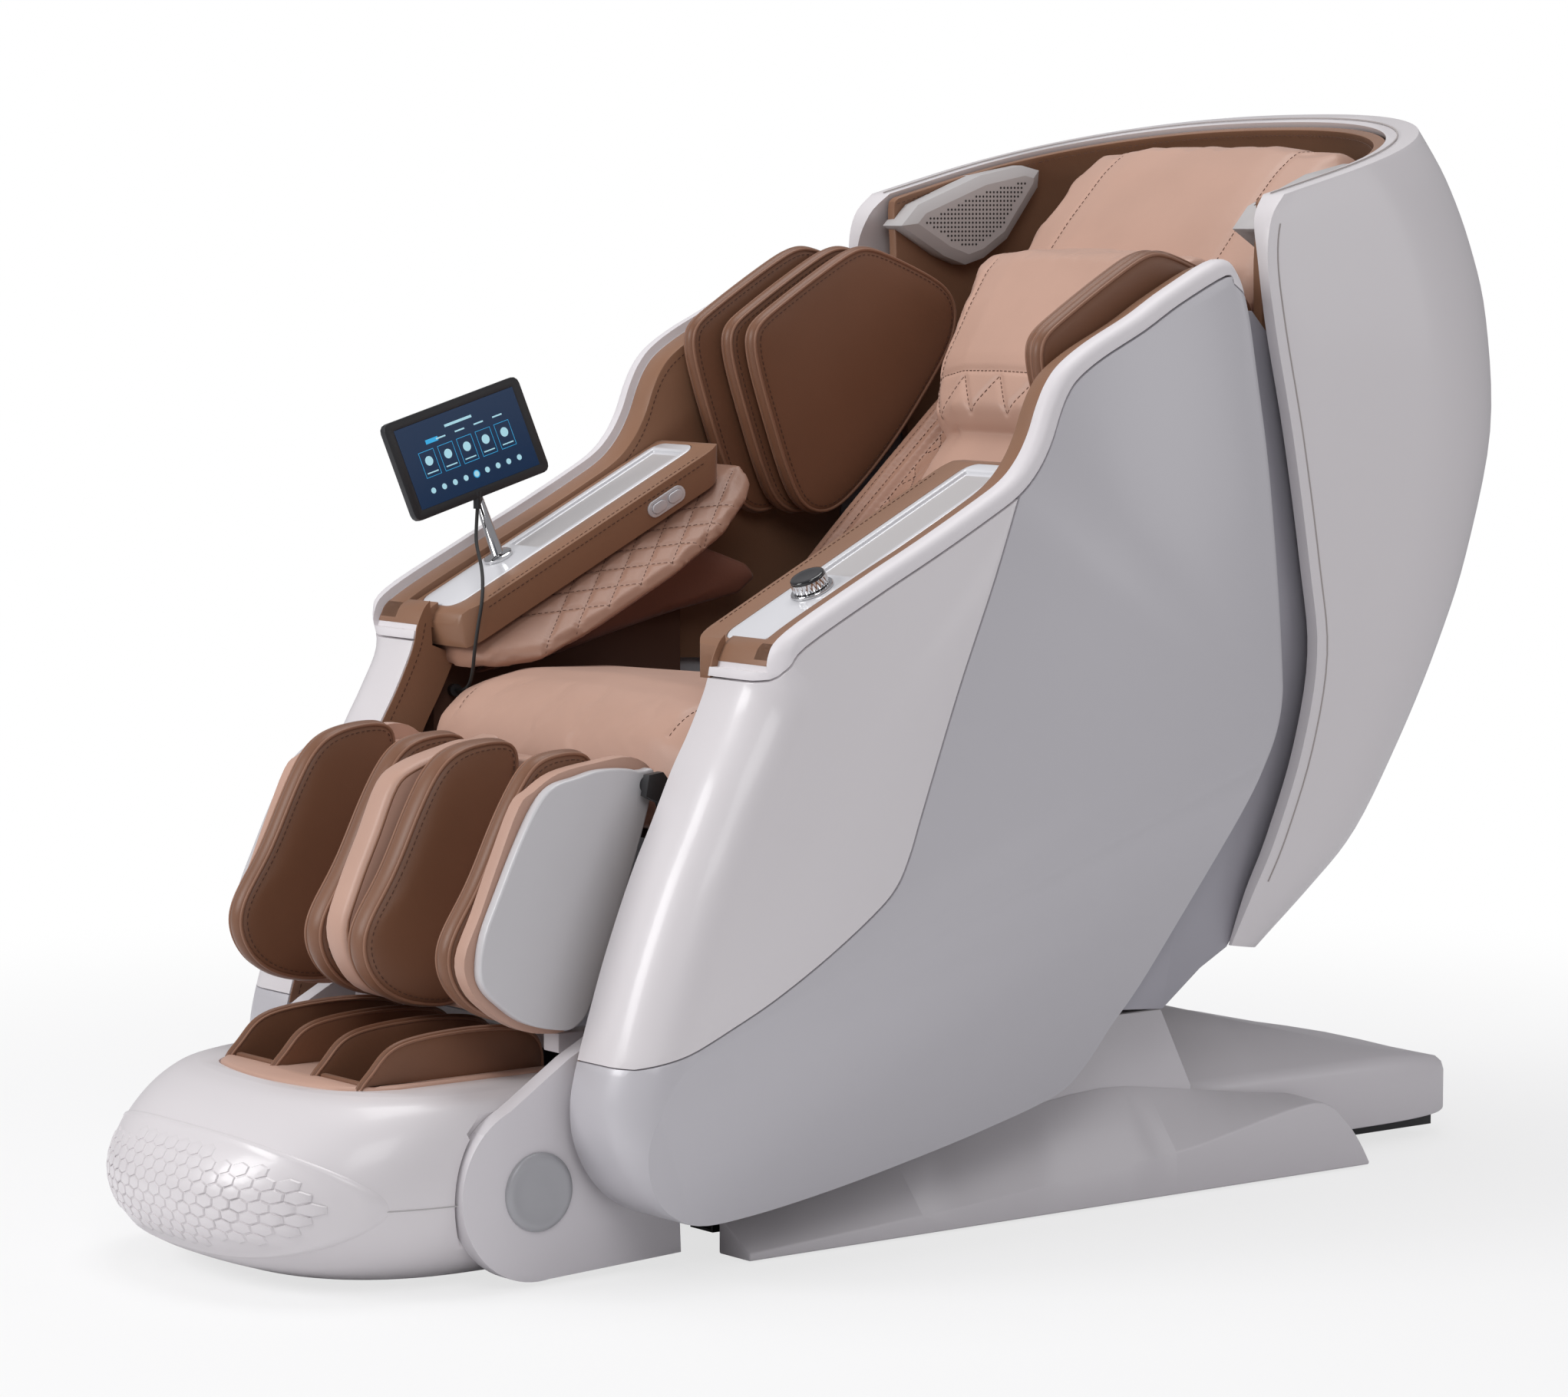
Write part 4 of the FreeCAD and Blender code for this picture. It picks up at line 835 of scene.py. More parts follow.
# %% Shoulder and calf leaves
LEAF = [(-184, 946), (-156, 977), (-37, 1047), (-2, 1051), (96, 1013), (123, 992), (128, 971),
        (116, 928), (41, 829), (-27, 762), (-67, 736), (-93, 738), (-116, 753), (-150, 834)]
for sign in (1, -1):
    for index, (x0, shift) in enumerate(((238, 4), (268, -8), (298, -40))):
        leaf("shoulder_leaf_%d_%d" % (index, sign + 1), [(y + shift, z) for y, z in LEAF], x0, x0 + 27,
             "seat_body", "shoulder_cushions", (-1,), sign)
CALF_PAD = [(-924, 346), (-912, 300), (-880, 274), (-830, 262), (-790, 266), (-766, 320), (-722, 480),
            (-716, 536), (-740, 543), (-790, 538), (-822, 522), (-850, 478), (-884, 410)]
for index, (x0, x1, shift) in enumerate(((-204, -168, 0), (-70, -24, 10), (24, 70, 4), (168, 204, 18))):
    leaf("calf_leaf_%d" % index, [(y + (shift if y < -800 else 0), z) for y, z in CALF_PAD], x0, x1,
         "legrest", "calf_cushions", (-1, 1))

# %% [markdown]
# ## Seams that lie on a pad
# A seam is drawn flat, then dropped onto the pad along the direction it faces. The leather
# is pressed in along it, and a fine row of thread is laid in the groove.

# %% Seam helpers
BACK_TILT = math.radians(43.0)
BACK_UP = Vector((0, math.cos(BACK_TILT), math.sin(BACK_TILT)))
BACK_OUT = Vector((0, -math.sin(BACK_TILT), math.cos(BACK_TILT)))


def on_back(x, u, n):
    """A point x across, u up the back and n in front of it, in metres."""
    return at(x, -251, 560) + BACK_UP * (u * MM) + BACK_OUT * (n * MM)


def back_line(xa, ua, xb, ub, n=200):
    """A straight seam drawn in front of the back, from (xa, ua) to (xb, ub)."""
    return [on_back(xa, ua, n), on_back(xb, ub, n)]


def dense(line, step):
    """The line with points every few millimetres."""
    result = []
    for a, b in zip(line, line[1:]):
        count = max(1, int((b - a).length / (step * MM)))
        result += [a.lerp(b, k / count) for k in range(count)]
    return result + [line[-1]]


def dropped(pad, starts, direction, lift):
    """Points where rays from the starts meet the pad, a little above its skin."""
    hits = []
    for start in starts:
        hit, spot, normal, face = pad.ray_cast(start, direction)
        if hit:
            spot = spot - direction * (lift * MM)
            hits.append((spot.x / MM, spot.y / MM - STATION, spot.z / MM))
    return hits


def press(pad, lines, direction, width, depth):
    """Presses the pad in along dropped lines of points."""
    spots = [at(*p) for line in lines for p in line]
    if not spots:
        return
    tree = KDTree(len(spots))
    for index, spot in enumerate(spots):
        tree.insert(spot, index)
    tree.balance()
    for vertex in pad.data.vertices:
        spot, index, gap = tree.find(vertex.co)
        if gap < 3 * width * MM:
            vertex.co += direction * (depth * MM * math.exp(-(gap / (width * MM)) ** 2))


def sew(pad, name, drawn, direction, body, width=4.0, depth=2.5, radius=0.6, step=4.0):
    """Presses seams into the pad and lays stitches in them."""
    starts = [dense(line, step) for line in drawn]
    press(pad, [dropped(pad, line, direction, 0.5) for line in starts], direction, width, depth)
    lines = [dropped(pad, line, direction, 0.35) for line in starts]
    rows = [stitches(name, line, radius=radius) for line in lines if len(line) > 2]
    finish(joined(rows, name), body, THREAD, ())


# %% Seat, hips and head
seat = soft("seat_pad", "seat_cushion", "seat_body", TAN, 5, 16, 6.0)
DOWN = Vector((0, 0, -1))
sew(seat, "seat_seam", [[at(x, -620, 700), at(x * 0.985, -290, 700)] for x in (-196, 196)], DOWN,
    "seat_body")
soft("hip_pad", "hip_flaps", "seat_body", WINE, 3, 5, 4.0)
headrest = soft("head_rest", "head_pad", "backrest", TAN, 4, 12, 6.0)
sew(headrest, "head_seam", [back_line(x, 622, x, 838) for x in (-150, 150)], -BACK_OUT, "backrest",
    depth=2.0)

# %% [markdown]
# The neck pillow is a thick pad with a seam down each side. Its lowest band is sewn in
# zigzags, and a small flap hangs below it. The back pad behind is quilted in diamonds
# between plain channels that run up its sides.

# %% Neck pillow and back pad
pillow = soft("neck_rest", "neck_pillow", "backrest", TAN, 4, 10, 5.0)
zigzag = [on_back(-128 + 32 * k, 374 if k % 2 else 414, 300) for k in range(9)]
seams = [back_line(-118, 372, -150, 612, 300), back_line(118, 372, 150, 612, 300),
         back_line(-134, 420, 134, 420, 300), zigzag]
sew(pillow, "pillow_seam", seams, -BACK_OUT, "backrest", width=4.5, depth=3.0)
back = soft("back_rest", "back_pad", "backrest", QUILT, 3, 5, 6.6)
quilt = []
for k in range(-16, 18):
    for slope in (1, -1):
        line = [(x, 300 + k * 52 + slope * x * 1.25) for x in (-156 + 7.8 * t for t in range(41))]
        line = [(x, u) for x, u in line if 24 < u < 596]
        if len(line) > 2:
            quilt.append(back_line(*line[0], *line[-1]))
for x in (158, 176, 194, 211):
    quilt += [back_line(sign * x, 16, sign * x, 592) for sign in (1, -1)]
sew(back, "back_quilt", quilt, -BACK_OUT, "backrest", width=6.0, depth=5.0, radius=0.7,
    step=6.0)

# %% [markdown]
# ## Arm cushions and armrests
# Under each armrest an air cushion bulges out, quilted in small diamonds on top. The
# armrest itself is a brown leather pad with a glossy white tray let into it.

# %% Forearm cushions
forearms = soft("forearm_rest", "forearm_pads", "seat_body", QUILT, 2, 5, 4.0)
for sign in (1, -1):
    rows = []
    for k in range(-8, 9):
        for slope in (1, -1):
            y0, y1 = -396 + k * 44 - 45 * slope, -396 + k * 44 + 45 * slope
            if -572 < y0 < -216 and -572 < y1 < -216:
                rows.append([at(sign * 162, y0, 900), at(sign * 226, y1, 900)])
    sew(forearms, "forearm_quilt_%d" % (sign + 1), rows, DOWN, "seat_body", 4.0, 2.0,
        radius=0.45)

# %% Armrest pads and trays
ARM_SLOPE = 0.504


def arm_z(y):
    return 640.0 + ARM_SLOPE * (y + 620.0)


def on_arm(*spots):
    """(y, z) points given by y and by their height over the armrest's slope."""
    return [(y, arm_z(y) + up) for y, up in spots]


def rounded_plan(x0, x1, y0, y1, r):
    """A tall block with rounded corners in plan."""
    line = []
    for cx, cy, start in ((x1 - r, y1 - r, 0), (x0 + r, y1 - r, 90), (x0 + r, y0 + r, 180), (x1 - r, y0 + r, 270)):
        for k in range(9):
            a = math.radians(start + 90 * k / 8)
            line.append((cx + r * math.cos(a), cy + r * math.sin(a)))
    return block("plan", line, 560, 900)


arm_outline = on_arm((-604, -12), (-601, -4), (-594, 0), (-252, 0), (-244, -3), (-240, -10), (-240, -34),
                     (-243, -40), (-250, -42), (-596, -42))
tray_cut = on_arm((-592, 9), (-254, 9), (-254, -12), (-592, -12))
tray_form = on_arm((-591.4, 0.6), (-254.6, 0.6), (-254.6, -11.6), (-591.4, -11.6))
phone = on_arm((-470, -4.4), (-268, -4.4), (-268, 9), (-470, 9))
arm_pad = plate("arm_pad", arm_outline, 208, 329.5)
boolean(arm_pad, rounded_plan(208, 345, -604, -240, 30), "INTERSECT")
well = plate("tool", tray_cut, 246, 324)
boolean(well, rounded_plan(246, 324, -592, -254, 18), "INTERSECT")
boolean(arm_pad, well)
bevelled(arm_pad, 4.5, 3, 50)
tray = plate("tray", tray_form, 246.6, 323.4)
boolean(tray, rounded_plan(246.6, 323.4, -591.4, -254.6, 17.5), "INTERSECT")
boolean(tray, plate("tool", phone, 256, 314))
bevelled(tray, 2.2, 3, 50)
finish(both("arm_pads", arm_pad), "seat_body", BROWN, ("armrest_pads",))
finish(both("trays", tray), "seat_body", TRAY, ("armrest_trays",))
for sign in (1, -1):
    top_line = [(sign * 214.5, y, arm_z(y) + 0.2) for y in range(-568, -270, 10)]
    side_line = [(sign * 207.6, y, arm_z(y) - 9) for y in range(-572, -268, 10)]
    for index, line in enumerate((top_line, side_line)):
        sewn("arm_thread_%d_%d" % (index, sign + 1), line, "seat_body", "brown_leather")
border = plate("phone_border", on_arm((-466, -4.3), (-272, -4.3), (-272, -3.6), (-466, -3.6)), 260, 310)
finish(both("phone_borders", border), "seat_body", PALE, ())

# %% [markdown]
# ## Linings and strips
# The inner face of each wing and of its front post is lined with brown leather, which
# also covers the inner half of the rim. It is stitched a finger's width from its edge. A
# silver strip fills the gap between wing and hood.

# %% Linings and strips
rim_run = inset(wing_line, 9.0)
first = STEPS * (len(WING) - len(rim_edge))
rim_run = rim_run[first:] + rim_run[:1]
lining_outline = [spot for spot in rim_run if spot[0] > -616]
lining_outline += [(-590, 600), (-560, 588), (-20, 560), (22, 600), (22, 985)]
arm_lining = bevelled(plate("arm_lining", lining_outline, 331, 365), 2.5, 2, 60)
post_front = [spot for spot in inset(wing_line, 2.0) if spot[0] < -600 and 224 < spot[1] < 660]
post_front.sort(key=lambda spot: -spot[1])
post_outline = post_front + [(y + 61, z) for y, z in post_front[::-1] if z < 600] + [(-604, 610)]
post_lining = plate("post_lining", post_outline, 273.6, 275.6)
nose_line = [(y, z) for y, z in inset(wing_line, 9.0) if y < -595 and z > 627.5]
nose_outline = [(-595, 658), (-595, 627.5)] + nose_line[::-1]
nose_lining = bevelled(plate("nose_lining", nose_outline, 273.8, 365), 1.0, 2, 60)
finish(both("arm_linings_leather", arm_lining, post_lining, nose_lining), "seat_body", BROWN,
       ("arm_linings",))
lining_edge = [(y + 4, z - 9) for y, z in rim_run if y > -600]
post_edge = [(y + 10, z) for y, z in post_front if z < 640]
for sign in (1, -1):
    for name, x, line in (("lining", 330.6, lining_edge), ("post", 273.4, post_edge)):
        sewn("%s_thread_%d" % (name, sign + 1), [(sign * x, y, z) for y, z in line], "seat_body", "brown_leather")
strip_outline = [(24, 985), (24, 600), (-40, 345), (-140, 230), (-60, 224), (-5, 264), (34, 284),
                 (100, 370), (150, 470), (175, 564), (160, 700), (112, 934), (64, 985)]
strip = bevelled(plate("strip", strip_outline, 331, 345), 1.2, 2, 30)
finish(both("side_strip_pair", strip), "seat_body", SILVER, ("side_strips",))

# %% [markdown]
# ## Leg rest
# The leg rest's housing is upholstered in tan leather: two side walls, a back and a
# partition between the calves. Each side wall carries a smooth grey plate outside.

# %% Leg rest
CALF = [(-899, 340), (-891, 307), (-865, 281), (-832, 262), (-803, 255), (-770, 258), (-742, 300), (-668, 500),
        (-664, 518), (-690, 533), (-735, 530), (-782, 522), (-812, 506), (-831, 491), (-859, 431), (-879, 385)]
PARTITION = [(-913, 348), (-900, 306), (-868, 276), (-800, 262), (-774, 300), (-706, 516), (-736, 535),
             (-776, 529), (-822, 516), (-849, 497), (-873, 446), (-897, 395)]
PLATE = [(-889, 329), (-883, 309), (-865, 291), (-836, 271), (-798, 260), (-768, 262), (-742, 304), (-672, 500),
         (-690, 520), (-735, 524), (-768, 518), (-797, 511), (-818, 492), (-840, 455), (-864, 406), (-883, 364)]
calf_line, partition_line = smooth(CALF, 4), smooth(PARTITION, 4)
BACK_WALL = [(-803, 262), (-770, 260), (-742, 300), (-668, 500), (-672, 516), (-706, 516), (-772, 300)]
ROD_X = (-180, 180)
ROD_UP = Vector((0, 74, 200)).normalized()


def rod(name, x, radius, *heights):
    """A round tube up the leg rest's slope, between heights above the rod's foot."""
    return tube(name, [tuple(Vector((x, -748, 246)) + ROD_UP * h) for h in heights], radius, sides=20)


calf_parts = [both("calf_side", bevelled(plate("calf_side", calf_line, 206, 224), 5.0, 3, 50)),
              bevelled(plate("calf_middle", partition_line, -20, 20), 9.0, 4, 50),
              bevelled(plate("calf_back", BACK_WALL, -206, 206), 2.0, 2, 40)]
calf_parts += [rod("sleeve", x, 15, 110, 140, 170) for x in ROD_X]
finish(joined(calf_parts, "calf_housing"), "legrest", TAN, ("calf_shell",), 50)
for x in (-20, 20):
    seam_line = [(x * 0.93, y, z) for y, z in inset(partition_line, 6)]
    finish(tube("middle_piping_%d" % (x + 20), seam_line, 1.7, closed=True), "legrest", PIPING, (),
           80)
PLATE_GREY = moulded("plate_grey", (0.60, 0.585, 0.60), 0.36, coat=0.2)
leg_plate = bevelled(plate("leg_plate", smooth(PLATE, 4), 224, 239), 3.5, 3, 50)
finish(both("leg_plates", leg_plate), "legrest", PLATE_GREY, ("calf_side_plates",))

# %% [markdown]
# ## Foot unit
# The foot unit is one rounded white housing, squarer at the back and bowed at the front.
# An oval panel of raised six-sided cells is let into its front, and two padded wells with
# leather flaps are let into its top.

# %% Foot housing
FOOT = [(10, -1040, 190), (30, -1092, 224), (62, -1122, 244), (100, -1130, 252), (140, -1112, 250),
        (172, -1080, 242), (192, -1046, 228), (200, -1020, 208)]
FP_Y, FP_Z, BRACKET_R = -833.0, 99.0, 100.0
foot_levels = smooth(FOOT, 6, closed=False)


def foot_ring(z, front, half):
    line = [(half, -740, z), (half, -780, z), (half, -820, z), (half, -860, z)]
    for k in range(1, 28):
        a = math.radians(90 * k / 28)
        line.append((half * math.cos(a) ** 0.8, -860 + (front + 860) * math.sin(a) ** 0.8, z))
    line.append((0, front, z))
    return line + [(-x, y, zz) for x, y, zz in reversed(line[:-1])]


foot = skin("foot_housing", [foot_ring(*level) for level in foot_levels])
heel = plate("heel", [(FP_Y, FP_Z), (FP_Y, -10), (-600, -10), (-600, FP_Z)], -300, 300)
boolean(heel, plate("tool", circle(FP_Y, FP_Z, BRACKET_R - 8), -301, 301))
boolean(foot, heel)
swept = [(FP_Y - 77, FP_Z + 66), (FP_Y + 25, FP_Z + 155), (-640, 270), (-640, -10), (FP_Y, -10)]
recess = plate("recess", swept, 235.5, 275)
boolean(recess, plate("tool", circle(FP_Y, FP_Z, BRACKET_R - 4), 235.4, 275.1), "UNION")
recess_right = mirrored(recess, "recess_right")
boolean(foot, recess)
boolean(foot, recess_right)
toe = [(150, -930), (132, -968), (96, -992), (0, -1006), (-96, -992), (-132, -968), (-150, -930)]
pan_line = [(150, -735), (150, -860)] + smooth(toe, 6, closed=False) + [(-150, -860), (-150, -735)]
boolean(foot, block("pan", pan_line, 60, 260))
bevelled(foot, 3.0, 3, 50)
finish(foot, "foot_unit", WHITE, ("foot_shell",), 40)

# %% Foot surround, wells and flaps
surround = skin("surround", [[(x * k, -870 + (y + 870) * k, z) for x, y in pan_line]
                             for z, k in ((150, 0.995), (196, 0.995), (201, 0.985), (203.5, 0.96))])
for x0, x1 in ((32, 134), (-134, -32)):
    hole = [(x0, -700), (x0, -952), (x0 + 8, -960), (x1 - 8, -960), (x1, -952), (x1, -700)]
    boolean(surround, block("hole", hole, 60, 260))
bevelled(surround, 2.5, 3, 50)
finish(surround, "foot_unit", TAN, ("foot_surround",), 50)
FLAP = [(-952, 110), (-972, 196), (-956, 214), (-918, 246), (-800, 252), (-738, 232), (-740, 150), (-740, 110)]
for index, x0 in enumerate((32, 120, -134, -46)):
    leaf("foot_flap_%d" % index, FLAP, x0, x0 + 14, "foot_unit", "foot_wells", (), 1, 10, 1.6)
WELL_FLOOR = [(-960, 96), (-740, 96), (-740, 104), (-960, 104)]
WELL_TOE = [(-960, 104), (-952, 104), (-952, 206), (-960, 206)]
well_parts = [bevelled(plate("well", outline, x0 + start, x0 + end), 2, 2, 50) for x0 in (32, -134)
              for outline, start, end in ((WELL_FLOOR, 0, 102), (WELL_TOE, 14, 88))]
finish(joined(well_parts, "well_lining"), "foot_unit", DARK, ("foot_wells",))

# %% Honeycomb panel


def foot_front(x, z, off=0.0):
    """The housing's front at a place, off millimetres in front of it."""
    z = min(max(z, 12), 198)
    for low, high in zip(foot_levels, foot_levels[1:]):
        if low[0] <= z <= high[0]:
            t = (z - low[0]) / max(1e-6, high[0] - low[0])
            front, half = low[1] + (high[1] - low[1]) * t, low[2] + (high[2] - low[2]) * t
            break
    a = math.acos(min(1.0, abs(x) / (half + off)) ** (1 / 0.8))
    return (x, -860 + (front - off + 860) * math.sin(a) ** 0.8, z)


FRONT_OVAL = (232.0, 64.0, 98.0)
PANEL_FLAT, FLATTEN = 1.8, 0.62
profile = [(1.0, -3.0), (1.0, 1.6), (0.992, 2.4), (0.975, 2.6), (0.96, 1.9)]
profile += [(share, PANEL_FLAT) for share in (0.9, 0.8, 0.7, 0.6, 0.45, 0.3, 0.15, 0.02)]
rings = []
for share, off in profile:
    ring = []
    for k in range(96):
        c, s = math.cos(2 * math.pi * k / 96), math.sin(2 * math.pi * k / 96)
        ring.append(foot_front(FRONT_OVAL[0] * share * math.copysign(abs(c) ** 0.72, c),
                               FRONT_OVAL[2] + FRONT_OVAL[1] * share * s, off))
    rings.append(ring)
oval = skin("oval_panel", rings)
cell, points, faces = 12.4, [], []
for row in range(-6, 7):
    for column in range(-14, 15):
        cx = (column + 0.5 * (row % 2)) * cell * 1.732
        cz = FRONT_OVAL[2] + row * cell * 1.5 * FLATTEN
        if (cx / (FRONT_OVAL[0] - 34)) ** 2 + ((cz - FRONT_OVAL[2]) / (FRONT_OVAL[1] - 15)) ** 2 > 1:
            continue
        base = len(points)
        for reach, off in ((0.92, 1.6), (0.82, 3.0), (0.3, 3.3)):
            for k in range(6):
                a = math.radians(60 * k + 30)
                across, rise = cell * reach * math.cos(a), cell * FLATTEN * reach * math.sin(a)
                points.append(foot_front(cx + across, cz + rise, off))
        faces += bands(6, 3, base) + [tuple(base + 12 + k for k in range(6))]
cells = raw_piece("cells", points, faces)
finish(joined([oval, cells], "honeycomb_panel"), "foot_unit", WHITE, ("foot_front_panel",), 30)
parting = [foot_front(251.0 * math.cos(math.radians(a)) ** 0.8, 94, 0.1) for a in range(27, 2, -2)]
for sign in (1, -1):
    line = [(sign * x, y, z) for x, y, z in parting + [(252.2, -845, 94)]]
    finish(tube("parting_line_%d" % (sign + 1), line, 0.7), "foot_unit", PALE, ())

# %% Brackets and caps
arm_points = [(FP_Y - 66, FP_Z + 66), (-795, 232), (-756, 252), (-700, 254), (-660, 200), (-652, 14),
              (FP_Y, 6.4), (FP_Y - 30, 20)]
ROD_FOOT = [(-762, 226), (-690, 226), (-690, 247), (-762, 247)]
bracket = plate("bracket", arm_points, 236, 258)
boolean(bracket, plate("tool", circle(FP_Y, FP_Z, BRACKET_R - 7), 236, 258), "UNION")
bevelled(bracket, 4.0, 3, 40)
bracket_parts = [both("bracket", bracket),
                 plate("cross", [(-704, 212), (-680, 212), (-680, 226), (-704, 226)], -236, 236)]
for x in ROD_X:
    bracket_parts += [rod("rod", x, 9, 0, 120, 250), bevelled(plate("rod_foot", ROD_FOOT, x - 14, x + 14), 2)]
finish(joined(bracket_parts, "bracket_pair"), "foot_slide", WARM, ("foot_brackets",), 40)
CAP_STEPS = ((257.5, 41), (260.5, 41), (262.5, 39.5), (263.4, 37), (263.8, 34), (263.0, 31),
             (262.6, 15), (262.6, 1))
cap = skin("cap", [[(x, y, z) for y, z in circle(FP_Y, FP_Z, r)] for x, r in CAP_STEPS])
finish(both("caps", cap), "foot_slide", CAPS, ("pivot_caps",), 40)

# %% [markdown]
# ## Base
# Under the chair a long wedge-shaped skirt runs along each side, and a low cover falls
# away behind. Both are lofted along their length and have softened edges.

# %% Base
SKIRT = [(-594, 11, 42), (-362, 23, 86), (-202, 35, 110), (-65, 45, 124), (39, 55, 113),
         (167, 79, 94), (228, 82, 85), (262, 58, 62), (284, 32, 34), (300, 6, 7)]
skirt_levels = smooth(SKIRT, 3, closed=False)
skirt = skin("skirt", [[(300, y, 3), (300, y, max(4, ridge)), (246, y, max(5, top)), (246, y, 3)]
                       for y, ridge, top in skirt_levels])
bevelled(skirt, 5.0, 3, 40)
TOWER = [(-400, 50), (-400, 92), (-300, 150), (-150, 203), (26, 203), (72, 112), (72, 50)]
REAR_WALL = [(20, 203), (26, 203), (72, 112), (72, 90), (66, 90), (66, 111)]
tower = bevelled(plate("tower", TOWER, 240, 246), 1.5)
rear_wall = bevelled(plate("rear_wall", REAR_WALL, -240, 240), 1.5)
finish(joined([both("skirt", skirt), both("tower", tower), rear_wall], "skirts"), "base", WARM,
       ("base_shroud",), 35)
COVER = [(72, 240, 112, 190), (170, 240, 113, 172), (290, 242, 112, 142), (400, 240, 110, 116),
         (470, 228, 102, 102), (512, 204, 93, 94), (536, 168, 84, 86), (548, 120, 74, 76)]


def cover_ring(y, h, r, c):
    half = [(h, 32), (h, r - 14), (h - 4, r - 5), (h - 14, r)]
    half += [(h * 0.55 + (h - 14 - h * 0.55) * (1 - t), r + (c - r) * t) for t in (0.35, 0.7)]
    half += [(h * 0.55, c), (h * 0.28, c + 2), (0, c + 3)]
    return [(x, y, z) for x, z in half] + [(-x, y, z) for x, z in reversed(half[:-1])]


cover = bevelled(skin("cover", [cover_ring(*level) for level in smooth(COVER, 4, closed=False)]), 6.0, 3, 50)
finish(cover, "base", WARM, ("base_rear_cover",), 40)

# %% [markdown]
# ## Controls
# The tablet has a black bezel and a lit blue screen. The icons on it are plain generic
# shapes: dots, bars and rings in pale cyan.

# %% Small rigid pieces refined from the frame


def refined(node, body, material, width, segments=2, angle=50):
    """A copy of a frame node, cleaned into flat faces and given soft edges."""
    piece = bevelled(frame_copy(node, node + "_dressed", 1.0), width, segments, angle)
    return finish(piece, body, material, (node,), 40)


refined("tablet_case", "tablet", BLACK, 1.6, 3, 30)
refined("tablet_holder", "tablet", CHROME, 0.5)
refined("tablet_stalk", "seat_body", CHROME, 0.5)
refined("key_plate", "seat_body", KEY, 0.6)
refined("key_up", "up_key", KEY, 0.8, 3)
refined("key_down", "down_key", KEY, 0.8, 3)
refined("knob_bezel", "seat_body", CHROME, 0.3)
speakers = refined("speakers", "backrest", PALE, 3.0, 3, 30)

# %% Speaker perforation
HOLE_PITCH, HOLE_RADIUS = 5.2, 1.5


def perforated(piece, sign):
    """Small dark discs in rows on the flat inner face of a speaker."""
    way = Vector((sign, 0, 0))
    mesh = piece.data
    inward = [f for f in mesh.polygons if f.normal.dot(way) < -0.7 and f.center.x * sign > 0]
    face = max(inward, key=lambda f: f.area)
    middle, normal = face.center.copy(), face.normal.copy()
    right = normal.cross(Vector((0, 0, 1))).normalized()
    up = right.cross(normal)
    points, faces = [], []
    edge = [mesh.vertices[v].co - middle for v in face.vertices]
    corners = [(e.dot(right), e.dot(up)) for e in edge]
    for row in range(-16, 17):
        for column in range(-26, 27):
            u, v = column * HOLE_PITCH * MM, row * HOLE_PITCH * MM
            if all_inside(corners, u, v, 7 * MM):
                base = len(points)
                for hole_u, hole_v in circle(u, v, HOLE_RADIUS * MM, 8):
                    spot = middle + right * hole_u + up * hole_v + normal * (0.25 * MM)
                    points.append((spot.x / MM, spot.y / MM - STATION, spot.z / MM))
                faces.append(tuple(range(base, base + 8)))
    return raw_piece("speaker_holes_%d" % (sign + 1), points, faces)


def all_inside(corners, u, v, margin):
    """Whether a spot lies inside a convex face by at least the margin."""
    turns = []
    for (ua, va), (ub, vb) in zip(corners, corners[1:] + corners[:1]):
        run = math.hypot(ub - ua, vb - va)
        if run > 1e-6:
            turns.append(((ub - ua) * (v - va) - (vb - va) * (u - ua)) / run)
    return all(t > margin for t in turns) or all(t < -margin for t in turns)


for sign in (1, -1):
    finish(perforated(speakers, sign), "backrest", BLACK, ())

# %% Tablet screen
wide = Vector((-0.069, 0.964, 0.261)).normalized()
face_out = Vector((0.980, 0.014, 0.209))
face_out = (face_out - wide * face_out.dot(wide)).normalized()
tall = face_out.cross(wide).normalized()
centre = Vector((-330, -520, 825)) + face_out * 4.5


def screen_shape(name, shapes, lift):
    """Flat shapes on the screen, each a list of (across, up) corners."""
    points, faces = [], []
    for shape in shapes:
        base = len(points)
        points += [tuple(centre + wide * u + tall * v + face_out * lift) for u, v in shape]
        faces.append(tuple(range(base, base + len(shape))))
    return raw_piece(name, points, faces)


def bar(u0, u1, v0, v1):
    return [(u0, v0), (u1, v0), (u1, v1), (u0, v1)]


def lit(name, color, strength):
    material, shader, place = new_material(name, color, 0.25, 0.03, 20.0, 0.02)
    shader.inputs["Emission Color"].default_value = (*color, 1)
    shader.inputs["Emission Strength"].default_value = strength
    shader.inputs["Specular IOR Level"].default_value = 0.25
    return material


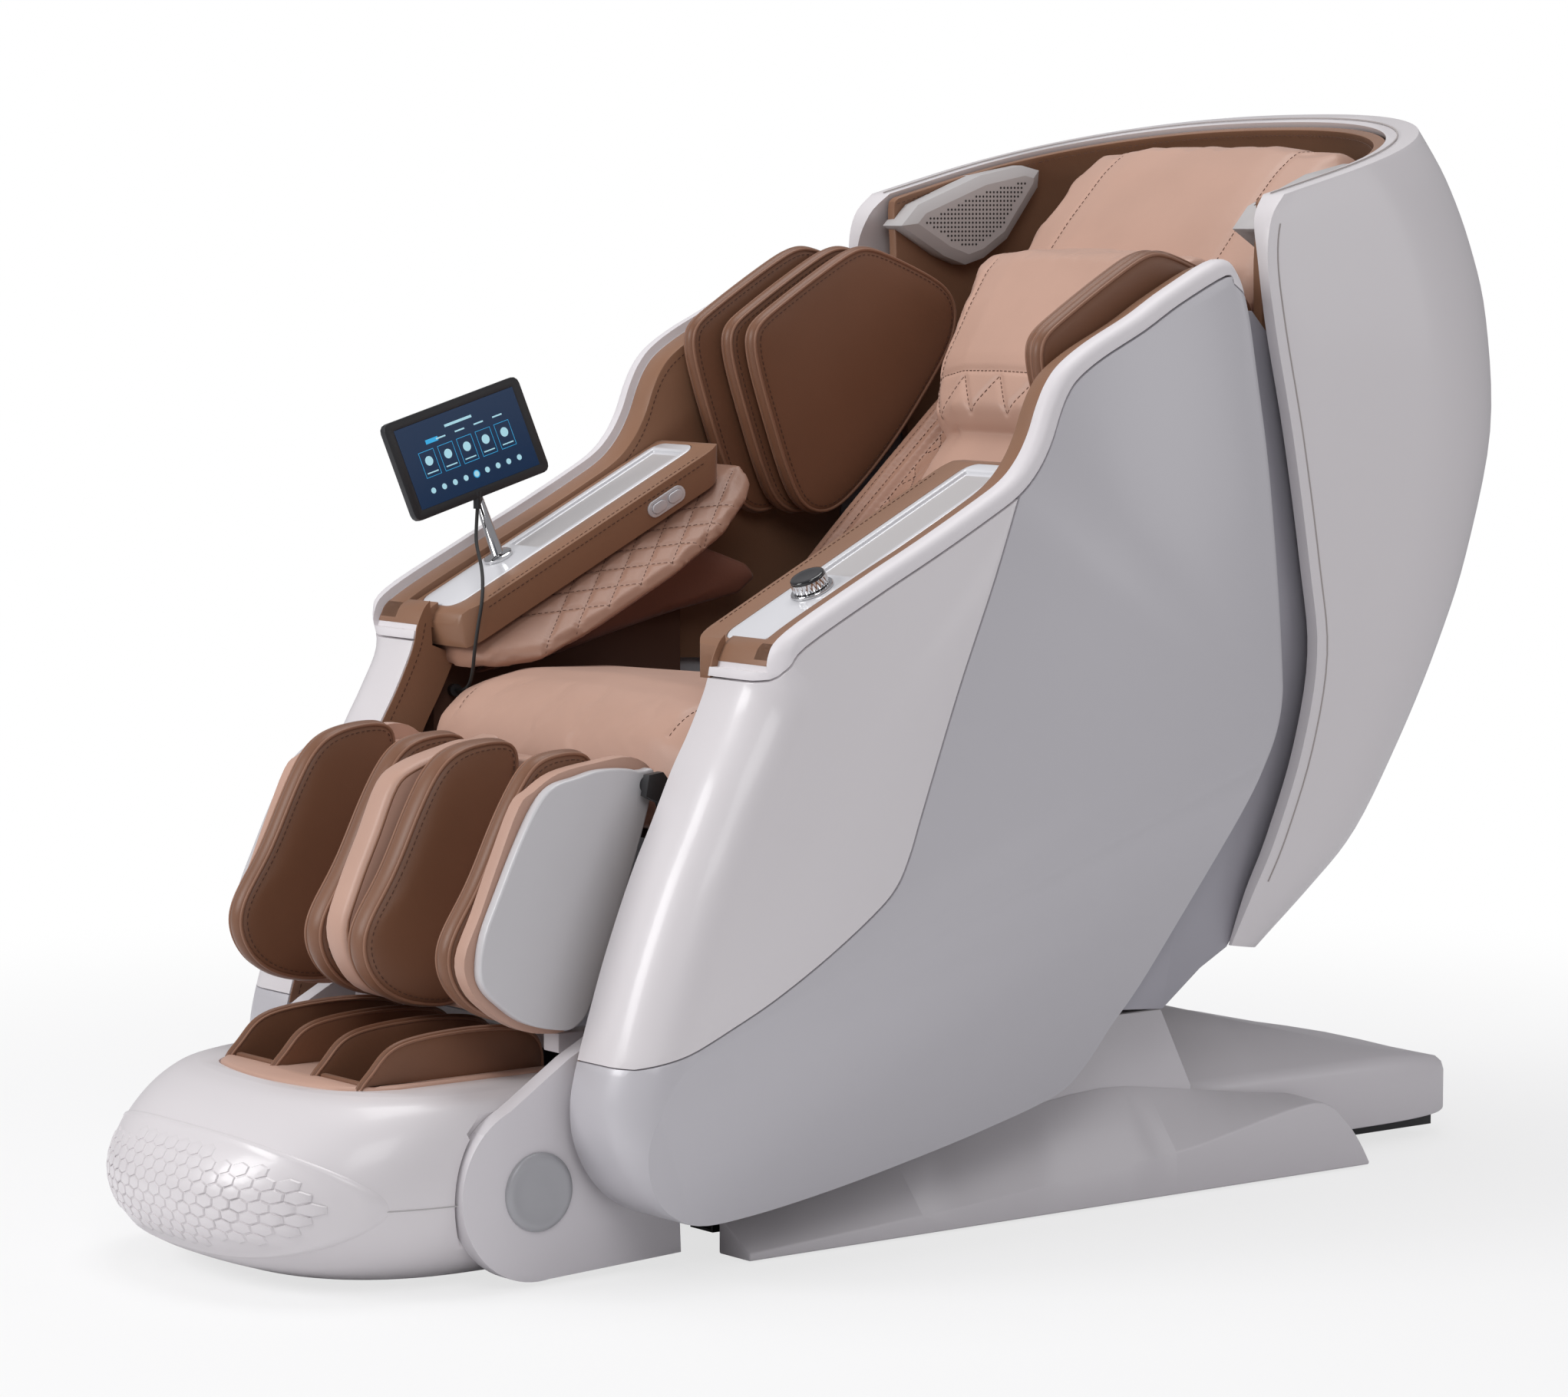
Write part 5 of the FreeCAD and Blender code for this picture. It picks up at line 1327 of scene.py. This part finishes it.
SCREEN = lit("screen_blue", (0.006, 0.022, 0.06), 0.5)
ICON = lit("icon_cyan", (0.35, 0.62, 0.72), 0.5)
ACCENT = lit("icon_accent", (0.03, 0.33, 0.62), 0.6)
glass = screen_shape("screen_glass", [bar(-88, 88, -47, 47)], 0.05)
finish(glass, "tablet", SCREEN, ("tablet_screen",))
icons, accents = [bar(-20, 20, 31, 34)], [bar(-52, -34, 20, 25)]
for k in range(5):
    u = -56 + 28 * k
    icons += [circle(u, 2, 5.5, 20), bar(u - 8, u + 8, -12, -10.6)]
    if k:
        icons.append(bar(u - 9, u + 5, 21.5, 23.2))
    accents += [bar(u - 11, u + 11, 13.4, 14), bar(u - 11, u + 11, -16, -15.4), bar(u - 11, u - 10.4, -16, 14),
                bar(u + 10.4, u + 11, -16, 14)]
for k in range(9):
    icons.append(circle(-64 + 16 * k, -31, 3.4, 14))
accents.append(circle(0, -31, 4.6, 18))
finish(screen_shape("screen_icons", icons, 0.30), "tablet", ICON, ())
finish(screen_shape("screen_accents", accents, 0.18), "tablet", ACCENT, ())

# %% Knob
KNOB = Vector((286, -500, arm_z(-500)))
arm_normal = Vector((0, -ARM_SLOPE, 1)).normalized()
across = Vector((1, 0, 0))
along = arm_normal.cross(across)


def knob_ring(h, r, wave=0.0, count=96):
    ring = []
    for k in range(count):
        a = 2 * math.pi * k / count
        reach = r - (wave if k % 4 < 2 else 0.0)
        spot = KNOB + arm_normal * (h + 1.0) + across * (reach * math.cos(a)) + along * (reach * math.sin(a))
        ring.append(tuple(spot))
    return ring


knob = skin("knob_grip", [knob_ring(-7, 6), knob_ring(3.4, 6), knob_ring(3.6, 19), knob_ring(4.2, 20, 0.8),
                          knob_ring(13, 20, 0.8), knob_ring(13.8, 19.4)])
finish(knob, "knob", CHROME, ("control_knob",), 40)
GLOSS = moulded("knob_black", (0.012, 0.012, 0.014), 0.12, coat=0.6)
TOP_STEPS = ((13.0, 19.0), (16.4, 19.0), (17.4, 18.2), (17.8, 16.5), (17.4, 12), (17.2, 1))
knob_top = skin("knob_top", [knob_ring(h, r) for h, r in TOP_STEPS])
finish(knob_top, "knob", GLOSS, (), 40)
